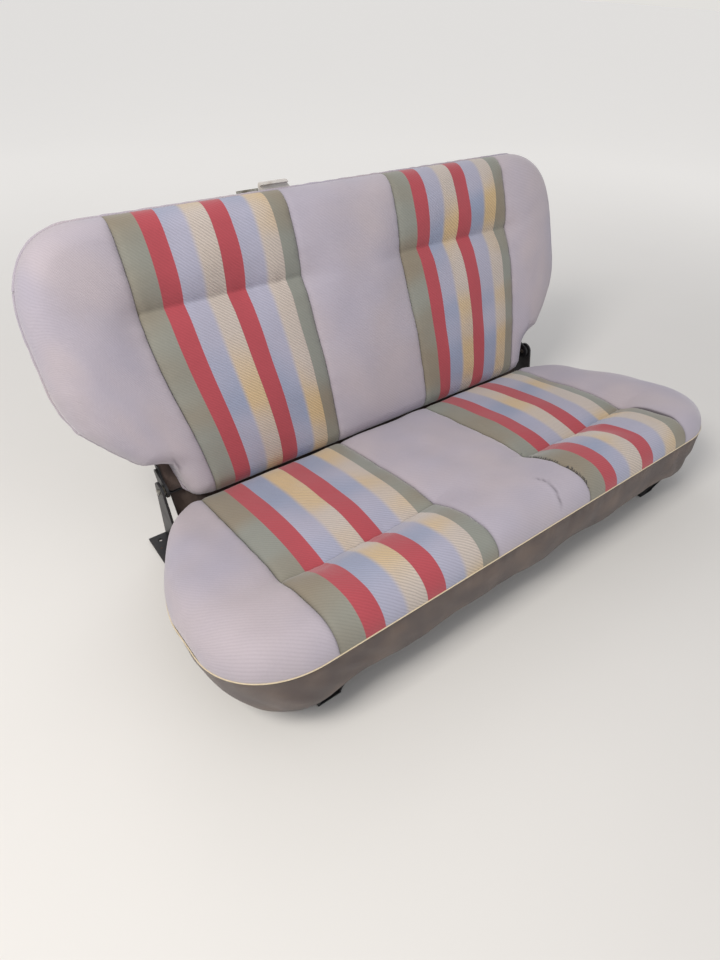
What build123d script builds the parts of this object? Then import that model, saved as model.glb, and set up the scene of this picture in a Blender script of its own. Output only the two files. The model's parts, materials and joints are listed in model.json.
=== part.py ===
"""Folding rear bench seat of a three-door city car, with its hinge brackets.

Millimetres. +X is the car's left, -Y its front and +Z up. The origin is the centre of the four
floor bolts of the front hinge brackets, on the floor. The cushion tips forward on its front
hinges, and the one-piece backrest folds forward on two pivots beside its lower corners.
"""

import os
from math import atan2, cos, degrees, hypot, radians, sin, sqrt, tan

from build123d import *

# Cushion: sizes seen by whoever sits on it
CUSHION_TILT = 11.0          # degrees, front edge up
CUSHION_DEPTH = 512.0        # bight to front face, along the top
CUSHION_SIDE_INSET = 10.0    # its side inside the backrest's
CUSHION_REAR_INSET = 131.0   # narrowed to pass between the wheel arches
CUSHION_WAIST_DEPTH = 235.0  # where the sides stop widening
CUSHION_REAR_HEIGHT = 128.0  # top of the rear edge above the floor
FRONT_OVERHANG = 66.0        # front edge ahead of the floor bolts
COVER_HEIGHT = 45.0          # light cover above its lower seam
FRONT_ROLL = 30.0
SKIRT_TUCK = 30.0            # how far the dark skirt slants in under the front
CUSHION_TUCK = 334.0         # cross seam, from the rear edge
CUSHION_CORNER_RADII = {"rear": 30.0, "waist": 90.0, "front": 150.0}

# Backrest
BACK_RECLINE = 19.0          # degrees from upright
BACK_HEIGHT = 503.0          # pivot level to top
BACK_HALF_WIDTH = 646.0
BACK_FRONT = 36.0            # pivot axis to the front plane, and radius of the lower edge
BACK_REAR = 14.0             # pivot axis to the rear of the pad
BACK_TUCK = 338.0            # cross seam, above the pivot level
BACK_ROLL = 30.0
NOTCH_INSET = 5.0            # the lower corner is cut away beside the tray's foot
BOLSTER_NOTCH_TOP = 52.0
PIVOT_HEIGHT = 150.0

# Sewn panels, shared by cushion and backrest
CENTRE_HALF_WIDTH = 128.0
BOLSTER_WIDTH = 180.0        # outermost seam to the backrest's side
SEAM_SINK = 4.0              # how far a seam lies below the surface beside it
CROWN = 13.0

# Clearances
BIGHT_GAP = 5.5              # between the backrest and the cushion's rear edge as it tips
SEAT_GAP = 0.3               # between pieces that rest on one another
PIN_CLEARANCE = 0.05         # radial, pin in its hole

# Cushion underframe
RAIL_RADIUS = 8.0
RAIL_FRONT_HEIGHT = 78.0
RAIL_REAR_HEIGHT = 30.0
RAIL_FRONT_Y = -30.0
RAIL_REAR_INSET = 34.0       # rear rail ahead of the cushion's rear edge
RAIL_SIDE_INSET = 52.0       # side rails inside the cushion's outline
RAIL_REAR_SIDE_INSET = 40.0
RAIL_BEND = 55.0
WIRE_RADIUS = 2.0
SPRING_X = [-370.0, -185.0, 0.0, 185.0, 370.0]
SPRING_SWING = 33.0
SPRING_TURNS = 7
FOOT_RADIUS = 17.0
FOOT_X = 330.0

# Front hinges
HINGE_INSET = 171.0          # hinge centre to the cushion's side
HINGE_Y = -35.0
HINGE_HEIGHT = 50.0
HINGE_PIN_RADIUS = 5.0
BOLT_PITCH = 36.0
BOLT_HOLE_RADIUS = 4.5
FOOT_PLATE = 3.0
HINGE_FOOT_LENGTH = 66.0
EAR_GAP = 40.0
EAR_THICKNESS = 3.0
EAR_RADIUS = 13.0
LEAF_WIDTH = 32.0
LEAF_RADIUS = 10.0
SADDLE_WALL = 4.0

# Backrest tray, pivots and latches
TRAY_INSET = 58.0            # tray to the side of the pad
TRAY_FOOT_INSET = 130.0
TRAY_FOOT_TOP = 48.0         # where the foot starts widening
TRAY_SHOULDER = 140.0        # where the full width is reached
TRAY_TOP_INSET = 13.0
TRAY_BOTTOM = -18.0
TRAY_DEPTH = 20.0
TRAY_WALL = 2.5
TRAY_RADII = {"foot": 10.0, "waist": 20.0, "shoulder": 40.0, "top": 70.0}
RIB_COUNT = 4
RIB_FIRST = 60.0
RIB_TOP_INSET = 70.0         # highest rib to the tray's top
RIB_END_INSET = 50.0         # rib's end to the side of the tray's foot
RIB_RADIUS = 9.0
CARPET_THICKNESS = 4.0
CARPET_INSET = 12.0
ARM_THICKNESS = 5.0
ARM_TOP = 30.0
ARM_RADIUS = 17.0
PIVOT_PIN_RADIUS = 6.0
BRACKET_GAP = 5.0            # arm to bracket
BRACKET_THICKNESS = 5.0
BRACKET_RADIUS = 20.0
BRACKET_FOOT_WIDTH = 42.0
BRACKET_FOOT_LENGTH = 84.0
BRACKET_BOLT_PITCH = 50.0
LATCH_TOP_INSET = 118.0      # latch centre below the pad's top
LATCH_SIZE = (34.0, 22.0, 64.0)
LATCH_SLOT = 11.0
HANDLE_LEFT = -88.0
HANDLE_RIGHT = -155.0
HANDLE_PROUD = 18.0          # above the pad's top
HANDLE_THICKNESS = 8.0
HANDLE_LIP = 9.0
HANDLE_SLOPE = 11.0          # its inner end slants
CATCH_LENGTH = 46.0
CATCH_PROUD = 8.0
RIVET_RADIUS = 4.0

# Places that follow from the sizes above
CUSHION_HALF_WIDTH = BACK_HALF_WIDTH - CUSHION_SIDE_INSET
CUSHION_REAR_HALF_WIDTH = CUSHION_HALF_WIDTH - CUSHION_REAR_INSET
STRIPED_OUTER = BACK_HALF_WIDTH - BOLSTER_WIDTH
RAIL_FRONT_HALF_WIDTH = CUSHION_HALF_WIDTH - RAIL_SIDE_INSET
RAIL_REAR_HALF_WIDTH = CUSHION_REAR_HALF_WIDTH - RAIL_REAR_SIDE_INSET
HINGE_X = CUSHION_HALF_WIDTH - HINGE_INSET
TRAY_HALF_WIDTH = BACK_HALF_WIDTH - TRAY_INSET
TRAY_FOOT_HALF_WIDTH = BACK_HALF_WIDTH - TRAY_FOOT_INSET
TRAY_TOP = BACK_HEIGHT - TRAY_TOP_INSET
BOLSTER_NOTCH_X = TRAY_FOOT_HALF_WIDTH - NOTCH_INSET
TRAY_NEAR = BACK_REAR + SEAT_GAP
TRAY_FAR = TRAY_NEAR + TRAY_DEPTH
RIB_STEP = (TRAY_TOP - RIB_TOP_INSET - RIB_FIRST) / (RIB_COUNT - 1)
RIB_HEIGHTS = [RIB_FIRST + index * RIB_STEP for index in range(RIB_COUNT)]
RIB_HALF_LENGTH = TRAY_FOOT_HALF_WIDTH - RIB_END_INSET
LATCH_HEIGHT = BACK_HEIGHT - LATCH_TOP_INSET
HANDLE_TOP = BACK_HEIGHT + HANDLE_PROUD
CATCH_TOP = BACK_HEIGHT + CATCH_PROUD
BRACKET_X = TRAY_FOOT_HALF_WIDTH + SEAT_GAP + ARM_THICKNESS + BRACKET_GAP + BRACKET_THICKNESS / 2
TILT = radians(CUSHION_TILT)
RECLINE = radians(BACK_RECLINE)
REAR_EDGE_Y = CUSHION_DEPTH * cos(TILT) - FRONT_OVERHANG
SWEEP = hypot(REAR_EDGE_Y - HINGE_Y, CUSHION_REAR_HEIGHT - HINGE_HEIGHT)
PIVOT_REACH = SWEEP + BIGHT_GAP + BACK_FRONT
PIVOT_Y = HINGE_Y + sqrt(PIVOT_REACH**2 - (PIVOT_HEIGHT - HINGE_HEIGHT) ** 2)
RAIL_REAR_Y = REAR_EDGE_Y - RAIL_REAR_INSET
RAIL_SLOPE = atan2(RAIL_FRONT_HEIGHT - RAIL_REAR_HEIGHT, RAIL_REAR_Y - RAIL_FRONT_Y)
BASE_LIFT = RAIL_RADIUS + 2 * WIRE_RADIUS + 2 * SEAT_GAP

# The cushion is drawn lying flat behind its rear top edge, and the backrest upright on its pivot.
CUSHION_PLANE = Plane(
    origin=(0, REAR_EDGE_Y, CUSHION_REAR_HEIGHT), x_dir=(1, 0, 0), z_dir=(0, sin(TILT), cos(TILT))
)
BACK_PLANE = Plane(
    origin=(0, PIVOT_Y, PIVOT_HEIGHT), x_dir=(1, 0, 0), z_dir=(0, sin(RECLINE), cos(RECLINE))
)
RAIL_PLANE = Plane(
    origin=(0, RAIL_FRONT_Y, RAIL_FRONT_HEIGHT),
    x_dir=(1, 0, 0),
    z_dir=(0, sin(RAIL_SLOPE), cos(RAIL_SLOPE)),
)


def section(x, corners):
    """A closed face at x from (y, z) corners. A corner may name the point its edge bulges through."""
    edges = []
    for (start, _), (end, through) in zip(corners, corners[1:] + corners[:1]):
        a = (x, *start)
        b = (x, *end)
        edges.append(ThreePointArc(a, (x, *through), b) if through else Line(a, b))
    return Face(Wire(edges))


def middle(a, b, out=(0.0, 0.0)):
    """The point halfway from a to b, moved by out."""
    return ((a[0] + b[0]) / 2 + out[0], (a[1] + b[1]) / 2 + out[1])


def rolled(a, b, corner):
    """A point on the quarter arc from a to b that rounds off a corner."""
    chord = middle(a, b)
    share = sqrt(2) - 1
    return (chord[0] + (corner[0] - chord[0]) * share, chord[1] + (corner[1] - chord[1]) * share)


def rear_edge(x):
    """Local y of the cushion's rear outline at x, its corner rounded."""
    run = CUSHION_HALF_WIDTH - CUSHION_REAR_HALF_WIDTH
    turn = atan2(CUSHION_WAIST_DEPTH, run)
    radius = CUSHION_CORNER_RADII["rear"]
    past = x - (CUSHION_REAR_HALF_WIDTH - radius * tan(turn / 2))
    if past <= 0:
        return 0.0
    if past <= radius * sin(turn):
        return sqrt(radius**2 - past**2) - radius
    return -CUSHION_WAIST_DEPTH * (x - CUSHION_REAR_HALF_WIDTH) / run


def front_edge(x):
    """Local y of the cushion's front outline at x."""
    radius = CUSHION_CORNER_RADII["front"]
    past = max(0.0, x - (CUSHION_HALF_WIDTH - radius))
    return -(CUSHION_DEPTH - radius + sqrt(max(0.0, radius**2 - past**2)))


def cushion_section(x, rise, crown, tuck_sink, pillow):
    """Side profile of the light cover: crowned top, cross tuck, and rolled front."""
    rear = rear_edge(x) if x > 0 else 0.0
    front = front_edge(x)
    rear_top = (rear, rise - 4)
    tuck = (max(-CUSHION_TUCK, front + 2 * FRONT_ROLL), rise - tuck_sink)
    roll = (front + FRONT_ROLL, rise - 2)
    face_top = (front, max(rise - FRONT_ROLL, 6 - COVER_HEIGHT))
    return section(x, [
        ((rear, -COVER_HEIGHT), None),
        (rear_top, None),
        (tuck, middle(rear_top, tuck, (0, crown))),
        (roll, middle(tuck, roll, (0, pillow))),
        (face_top, rolled(roll, face_top, (front, rise - 2))),
        ((front, -COVER_HEIGHT), None),
    ])


def back_section(x, foot, top, bulge, crown, tuck_sink):
    """Side profile of the backrest pad: round lower edge about the pivot, crowned front, rolled top."""
    front = -BACK_FRONT - bulge
    low = (-BACK_FRONT, foot)
    rear_low = (BACK_REAR, foot - sqrt(BACK_FRONT**2 - BACK_REAR**2))
    below = (-BACK_FRONT * cos(radians(55)), foot - BACK_FRONT * sin(radians(55)))
    tuck = (front + tuck_sink, min(BACK_TUCK, top - 2 * BACK_ROLL))
    roll = (front + 4, top - BACK_ROLL)
    crest = (front + 4 + BACK_ROLL, top)
    return section(x, [
        (rear_low, None),
        (low, below),
        (tuck, middle(low, tuck, (-crown, 0))),
        (roll, middle(tuck, roll, (-0.7 * crown, 0))),
        (crest, rolled(roll, crest, (front + 4, top))),
        ((BACK_REAR, top - 2), None),
    ])


# Panels from seam to seam. Columns: x, rise of the surface, crown, sink of the cross tuck, front pillow
CUSHION_SEAM = (-SEAM_SINK, 8.0, 8.0, 15.0)
CUSHION_CENTRE = [
    (-CENTRE_HALF_WIDTH, *CUSHION_SEAM),
    (0.0, 0.0, 5.0, -5.0, 6.0),
    (CENTRE_HALF_WIDTH, *CUSHION_SEAM),
]
CUSHION_STRIPED = [
    (CENTRE_HALF_WIDTH, *CUSHION_SEAM),
    ((CENTRE_HALF_WIDTH + STRIPED_OUTER) / 2, 0.0, CROWN, 20.0, 15.0),
    (STRIPED_OUTER, *CUSHION_SEAM),
]
CUSHION_BOLSTER = [
    (STRIPED_OUTER, *CUSHION_SEAM),
    (STRIPED_OUTER + 26, 0.0, 8.0, 2.0, 8.0),
    (STRIPED_OUTER + 60, 6.0, 7.0, 0.0, 5.0),
    (STRIPED_OUTER + 118, 4.0, 7.0, 0.0, 5.0),
    (CUSHION_HALF_WIDTH - 16, -8.0, 6.0, 0.0, 4.0),
    (CUSHION_HALF_WIDTH - 1, -24.0, 2.0, 0.0, 1.0),
]
# Columns: x, foot, top, bulge, crown, sink of the cross tuck
BACK_SEAM = (0.0, BACK_HEIGHT - 3, -2.0, CROWN, 6.0)
BACK_CENTRE = [
    (-CENTRE_HALF_WIDTH, *BACK_SEAM),
    (0.0, 0.0, BACK_HEIGHT, 4.0, CROWN, 0.0),
    (CENTRE_HALF_WIDTH, *BACK_SEAM),
]
BACK_STRIPED = [
    (CENTRE_HALF_WIDTH, *BACK_SEAM),
    ((CENTRE_HALF_WIDTH + STRIPED_OUTER) / 2, 0.0, BACK_HEIGHT, 0.0, CROWN + 2, 12.0),
    (STRIPED_OUTER, *BACK_SEAM),
]
BACK_BOLSTER = [
    (STRIPED_OUTER, *BACK_SEAM),
    (STRIPED_OUTER + 40, 26.0, BACK_HEIGHT - 3, 8.0, CROWN, 0.0),
    (STRIPED_OUTER + 91, 94.0, BACK_HEIGHT - 5, 10.0, CROWN, 0.0),
    (STRIPED_OUTER + 128, 145.0, BACK_HEIGHT - 20, 4.0, CROWN, 0.0),
    (BACK_HALF_WIDTH - 19, 188.0, BACK_HEIGHT - 62, -5.0, 8.0, 0.0),
    (BACK_HALF_WIDTH - 2, 232.0, BACK_HEIGHT - 150, -18.0, 3.0, 0.0),
]


def backrest_bolster():
    """Outer panel of the backrest, notched at its lower corner for the pivot bracket."""
    low = -2 * BACK_FRONT
    notch = Pos(BOLSTER_NOTCH_X, low * 2, low) * Box(
        BACK_HALF_WIDTH, -4 * low, BOLSTER_NOTCH_TOP - low, align=(Align.MIN, Align.MIN, Align.MIN)
    )
    return lofted(BACK_BOLSTER, back_section) - notch


def lofted(rows, profile):
    """One padded panel through the profiles of its table."""
    return loft([profile(*row) for row in rows])


def mirrored(shape):
    """The same piece on the car's right."""
    return mirror(shape, about=Plane.YZ)


def cushion_outline(inset):
    """Plan of the cushion, drawn flat."""
    half = CUSHION_HALF_WIDTH - inset
    rear = CUSHION_REAR_HALF_WIDTH - inset
    corners = [
        (rear, -inset, "rear"),
        (half, -CUSHION_WAIST_DEPTH, "waist"),
        (half, -CUSHION_DEPTH + inset, "front"),
    ]
    points = [(x, y) for x, y, _ in corners] + [(-x, y) for x, y, _ in reversed(corners)]
    names = [name for _, _, name in corners]
    radii = [CUSHION_CORNER_RADII[name] for name in names + names[::-1]]
    return make_face(FilletPolyline(*points, radius=radii, close=True))


def base_depth(y):
    """Local height of the cushion's underside at local y, on top of the springs."""
    place = CUSHION_PLANE.from_local_coords(Vector(0, y, -COVER_HEIGHT))
    rail = RAIL_FRONT_HEIGHT - (place.Y - RAIL_FRONT_Y) * sin(RAIL_SLOPE) / cos(RAIL_SLOPE)
    under = rail + BASE_LIFT / cos(RAIL_SLOPE)
    return -COVER_HEIGHT - (place.Z - under) * cos(RAIL_SLOPE) / cos(TILT - RAIL_SLOPE)


def cushion_base():
    """Foam block in its dark skirt, between the light cover and the springs."""
    inset = 2.0
    prism = extrude(cushion_outline(inset), amount=-(2 * COVER_HEIGHT + CUSHION_DEPTH / 4))
    front = -CUSHION_DEPTH
    tucked = front + SKIRT_TUCK
    side = section(-CUSHION_HALF_WIDTH, [
        ((0.0, -COVER_HEIGHT), None),
        ((0.0, base_depth(0.0)), None),
        ((tucked, base_depth(tucked)), None),
        ((front, -COVER_HEIGHT), None),
    ])
    wedge = extrude(side, amount=2 * CUSHION_HALF_WIDTH, dir=(1, 0, 0))
    return CUSHION_PLANE * (prism & wedge)


def rail_path():
    """Centre line of the cushion's tube frame, in the frame's own plane."""
    length = hypot(RAIL_REAR_Y - RAIL_FRONT_Y, RAIL_FRONT_HEIGHT - RAIL_REAR_HEIGHT)
    corners = [
        (RAIL_FRONT_HALF_WIDTH, 0.0),
        (RAIL_FRONT_HALF_WIDTH, length / 2),
        (RAIL_REAR_HALF_WIDTH, length),
    ]
    points = corners + [(-x, y) for x, y in reversed(corners)]
    return FilletPolyline(*points, radius=RAIL_BEND, close=True)


def cushion_frame():
    """Bent steel tube all round the underside."""
    path = rail_path()
    start = path.position_at(0)
    ring = Plane(origin=start, z_dir=path.tangent_at(0)) * Circle(RAIL_RADIUS)
    return RAIL_PLANE * sweep(ring, path=path)


def zigzag_spring(x):
    """Flat zigzag wire from the front rail to the rear rail, lying on both."""
    length = hypot(RAIL_REAR_Y - RAIL_FRONT_Y, RAIL_FRONT_HEIGHT - RAIL_REAR_HEIGHT)
    level = RAIL_RADIUS + WIRE_RADIUS + SEAT_GAP
    step = length / (2 * SPRING_TURNS)
    points = [(x, 0.0, level), (x, step / 2, level)]
    for turn in range(2 * SPRING_TURNS - 1):
        side = SPRING_SWING if turn % 2 else -SPRING_SWING
        along = step * (turn + 0.5)
        points += [(x + side, along, level), (x + side, along + step, level)]
    points = points[:1] + points[2:] + [(x, length - step / 2, level), (x, length, level)]
    path = FilletPolyline(*points, radius=0.42 * step)
    ring = Plane(origin=path.position_at(0), z_dir=path.tangent_at(0)) * Circle(WIRE_RADIUS)
    return RAIL_PLANE * sweep(ring, path=path)


def rear_foot():
    """Rubber block clipped under the rear rail, standing on the floor."""
    block = Pos(FOOT_X, RAIL_REAR_Y, 0) * extrude(Circle(FOOT_RADIUS), amount=RAIL_REAR_HEIGHT)
    tube = extrude(
        Plane(origin=(FOOT_X - 50, RAIL_REAR_Y, RAIL_REAR_HEIGHT), z_dir=(1, 0, 0))
        * Circle(RAIL_RADIUS + SEAT_GAP),
        amount=100,
    )
    return block - tube


def across(x, y, z, radius, length):
    """A round bar along X, centred at x."""
    return extrude(
        Plane(origin=(x - length / 2, y, z), x_dir=(0, 1, 0), z_dir=(1, 0, 0)) * Circle(radius),
        amount=length,
    )


def link_plate(x, thickness, rounds):
    """A plate across X whose outline wraps the given (y, z, radius) rounds."""
    discs = [Pos(y, z) * Circle(r) for y, z, r in rounds]
    outline = Plane.YZ * make_hull([edge for disc in discs for edge in disc.edges()])
    return extrude(Pos(x - thickness / 2, 0, 0) * outline, amount=thickness, dir=(1, 0, 0))


def hinge_bracket():
    """Front hinge bracket: floor plate with two bolt holes between two ears."""
    outer = EAR_GAP + 2 * EAR_THICKNESS
    plate = Pos(HINGE_X, 0, FOOT_PLATE / 2) * Box(outer, HINGE_FOOT_LENGTH, FOOT_PLATE)
    ears = []
    for side in (-1, 1):
        x = HINGE_X + side * (EAR_GAP + EAR_THICKNESS) / 2
        reach = HINGE_FOOT_LENGTH / 2
        blank = link_plate(x, EAR_THICKNESS, [
            (HINGE_Y, HINGE_HEIGHT, EAR_RADIUS),
            (reach - 6, 6, 6),
            (-reach + 6, 6, 6),
        ])
        ears.append(blank)
    bracket = plate + ears[0] + ears[1]
    for side in (-1, 1):
        hole = Pos(HINGE_X, side * BOLT_PITCH / 2, FOOT_PLATE / 2)
        bracket -= hole * Cylinder(BOLT_HOLE_RADIUS, 2 * FOOT_PLATE)
    return bracket - across(HINGE_X, HINGE_Y, HINGE_HEIGHT, HINGE_PIN_RADIUS + PIN_CLEARANCE, 2 * outer)


def hinge_pin():
    """Front hinge pin with a flat head outside the outer ear."""
    outer = EAR_GAP + 2 * EAR_THICKNESS
    shank = across(HINGE_X, HINGE_Y, HINGE_HEIGHT, HINGE_PIN_RADIUS, outer + 6)
    head_x = HINGE_X + outer / 2 + 2 + SEAT_GAP
    head = across(head_x, HINGE_Y, HINGE_HEIGHT, HINGE_PIN_RADIUS + 3, 4)
    return shank + head


def hinge_leaf():
    """Knuckle on the pin, with a saddle welded round the cushion's front rail."""
    blank = link_plate(HINGE_X, LEAF_WIDTH, [
        (HINGE_Y, HINGE_HEIGHT, LEAF_RADIUS),
        (RAIL_FRONT_Y, RAIL_FRONT_HEIGHT, RAIL_RADIUS + SADDLE_WALL - 0.5),
    ])
    rail = across(HINGE_X, RAIL_FRONT_Y, RAIL_FRONT_HEIGHT, RAIL_RADIUS, 2 * LEAF_WIDTH)
    bore = across(HINGE_X, HINGE_Y, HINGE_HEIGHT, HINGE_PIN_RADIUS + PIN_CLEARANCE, 2 * LEAF_WIDTH)
    return blank - rail - bore


def tray_outline(inset):
    """Front view of the backrest's steel tray, on the upright backrest's XZ plane."""
    corners = [
        (TRAY_FOOT_HALF_WIDTH - inset, TRAY_BOTTOM + inset, "foot"),
        (TRAY_FOOT_HALF_WIDTH - inset, TRAY_FOOT_TOP, "waist"),
        (TRAY_HALF_WIDTH - inset, TRAY_SHOULDER, "shoulder"),
        (TRAY_HALF_WIDTH - inset, TRAY_TOP - inset, "top"),
    ]
    points = [(x, z) for x, z, _ in corners] + [(-x, z) for x, z, _ in reversed(corners)]
    names = [name for _, _, name in corners]
    radii = [TRAY_RADII[name] for name in names + names[::-1]]
    return make_face(FilletPolyline(*points, radius=radii, close=True))


def behind(outline, near, far):
    """An outline of the upright backrest made solid from local depth near to far."""
    face = Plane(origin=(0, near, 0), x_dir=(1, 0, 0), z_dir=(0, -1, 0)) * outline
    return extrude(face, amount=far - near, dir=(0, 1, 0))


def backrest_tray():
    """Pressed steel tray behind the pad, with swaged ribs across its back."""
    shell = behind(tray_outline(0), TRAY_NEAR, TRAY_FAR)
    shell -= behind(tray_outline(TRAY_WALL), TRAY_NEAR - 1, TRAY_FAR - TRAY_WALL)
    for height in RIB_HEIGHTS:
        rib = across(0, TRAY_FAR - TRAY_WALL, height, RIB_RADIUS, 2 * RIB_HALF_LENGTH)
        inside = Pos(0, TRAY_FAR - TRAY_WALL - RIB_RADIUS, height) * Box(
            2 * RIB_HALF_LENGTH, 2 * RIB_RADIUS, 2 * RIB_RADIUS
        )
        shell += rib & inside
    return BACK_PLANE * shell


def backrest_core():
    """Foam block that fills the tray behind the sewn panels."""
    block = behind(tray_outline(TRAY_WALL + SEAT_GAP), TRAY_NEAR, TRAY_FAR - TRAY_WALL - SEAT_GAP)
    for height in RIB_HEIGHTS:
        block -= across(
            0, TRAY_FAR - TRAY_WALL, height, RIB_RADIUS + SEAT_GAP, 2 * RIB_HALF_LENGTH + 2 * SEAT_GAP
        )
    return BACK_PLANE * block


def backrest_carpet():
    """Carpet over the tray's back, which is the load floor when the backrest is folded."""
    near = TRAY_FAR + SEAT_GAP
    return BACK_PLANE * behind(tray_outline(CARPET_INSET), near, near + CARPET_THICKNESS)


def pivot_arm():
    """Plate on the tray's side flange that carries the backrest on its pivot pin."""
    x = TRAY_FOOT_HALF_WIDTH + SEAT_GAP + ARM_THICKNESS / 2
    mid = (TRAY_NEAR + TRAY_FAR) / 2
    plate = link_plate(x, ARM_THICKNESS, [
        (0, 0, ARM_RADIUS),
        (mid, TRAY_BOTTOM + 9, TRAY_DEPTH / 2 - 1),
        (mid, ARM_TOP, TRAY_DEPTH / 2 - 1),
    ])
    return BACK_PLANE * (plate - across(x, 0, 0, PIVOT_PIN_RADIUS + PIN_CLEARANCE, 4 * ARM_THICKNESS))


def pivot_bracket():
    """Rear bracket: upright plate beside the backrest, with a bolted foot turned outwards."""
    inner = BRACKET_X - BRACKET_THICKNESS / 2
    reach = BRACKET_FOOT_LENGTH / 2
    upright = link_plate(BRACKET_X, BRACKET_THICKNESS, [
        (PIVOT_Y, PIVOT_HEIGHT, BRACKET_RADIUS),
        (PIVOT_Y - reach + 8, 8, 8),
        (PIVOT_Y + reach - 8, 8, 8),
    ])
    foot_x = inner + BRACKET_FOOT_WIDTH / 2
    foot = Pos(foot_x, PIVOT_Y, BRACKET_THICKNESS / 2) * Box(
        BRACKET_FOOT_WIDTH, BRACKET_FOOT_LENGTH, BRACKET_THICKNESS
    )
    bracket = upright + foot
    hole_x = inner + BRACKET_THICKNESS + (BRACKET_FOOT_WIDTH - BRACKET_THICKNESS) / 2
    for side in (-1, 1):
        hole = Pos(hole_x, PIVOT_Y + side * BRACKET_BOLT_PITCH / 2, BRACKET_THICKNESS / 2)
        bracket -= hole * Cylinder(BOLT_HOLE_RADIUS, 2 * BRACKET_THICKNESS)
    bore = across(BRACKET_X, PIVOT_Y, PIVOT_HEIGHT, PIVOT_PIN_RADIUS + PIN_CLEARANCE, 4 * BRACKET_THICKNESS)
    return bracket - bore


def pivot_pin():
    """Stepped pin from the bracket into the arm, with its collar in the gap between them."""
    inner = TRAY_FOOT_HALF_WIDTH + SEAT_GAP
    outer = BRACKET_X + BRACKET_THICKNESS / 2 + 4
    shank = across((inner + outer) / 2, PIVOT_Y, PIVOT_HEIGHT, PIVOT_PIN_RADIUS, outer - inner)
    collar_x = BRACKET_X - (BRACKET_THICKNESS + BRACKET_GAP) / 2
    collar = across(collar_x, PIVOT_Y, PIVOT_HEIGHT, PIVOT_PIN_RADIUS + 4, BRACKET_GAP - 2 * SEAT_GAP)
    return shank + collar


def latch():
    """Latch case on the tray's side flange, with a throat open to the rear for the striker."""
    wide, deep, tall = LATCH_SIZE
    x = TRAY_HALF_WIDTH + SEAT_GAP + wide / 2
    y = TRAY_NEAR + SEAT_GAP + deep / 2
    case = Pos(x, y, LATCH_HEIGHT) * Box(wide, deep, tall)
    case = fillet(case.edges().filter_by(Axis.Y), 5)
    throat_y = y + deep / 2
    throat = Pos(x + wide / 4, throat_y, LATCH_HEIGHT) * Box(wide / 2 + 1, deep, LATCH_SLOT)
    round_end = across(x + wide / 4, throat_y - deep / 2, LATCH_HEIGHT, LATCH_SLOT / 2, wide / 2 + 1)
    return BACK_PLANE * (case - throat - round_end)


def release_handle():
    """Finger plate standing on the tray's top flange, its upper edge turned forward."""
    near = TRAY_NEAR + 2
    far = near + HANDLE_THICKNESS
    low = TRAY_TOP + SEAT_GAP
    shoulder = (far, HANDLE_TOP - HANDLE_LIP)
    crest = (far - HANDLE_LIP, HANDLE_TOP)
    profile = section(HANDLE_RIGHT, [
        ((near, low), None),
        ((far, low), None),
        (shoulder, None),
        (crest, rolled(shoulder, crest, (far, HANDLE_TOP))),
        ((near - HANDLE_LIP, HANDLE_TOP - 2), None),
        ((near - HANDLE_LIP, HANDLE_TOP - 6), None),
        ((near, HANDLE_TOP - 8), None),
    ])
    plate = extrude(profile, amount=HANDLE_LEFT - HANDLE_RIGHT, dir=(1, 0, 0))
    slant = make_face(Polyline(
        (HANDLE_LEFT - HANDLE_SLOPE, HANDLE_TOP + 1),
        (HANDLE_LEFT + 1, HANDLE_TOP + 1),
        (HANDLE_LEFT + 1, HANDLE_TOP - HANDLE_PROUD),
        close=True,
    ))
    return BACK_PLANE * (plate - behind(slant, near - 2 * HANDLE_LIP, far + 1))


def handle_catch():
    """Small steel bracket beside the handle, with two rivet heads."""
    outer = HANDLE_RIGHT - 4
    near = TRAY_NEAR + 3
    plate_x = outer - CATCH_LENGTH / 2
    low = TRAY_TOP + SEAT_GAP
    tall = CATCH_TOP - low
    plate = Pos(plate_x, near + 1.5, low + tall / 2) * Box(CATCH_LENGTH, 3, tall)
    shelf = Pos(plate_x, near + 6, low + 1.5) * Box(CATCH_LENGTH, 12, 3)
    catch = plate + shelf
    for side in (-1, 1):
        rivet = Plane(
            origin=(plate_x + side * CATCH_LENGTH / 4, near + 1, low + tall * 0.6), z_dir=(0, -1, 0)
        )
        catch += extrude(rivet * Circle(RIVET_RADIUS), amount=3)
    return BACK_PLANE * catch


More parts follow.
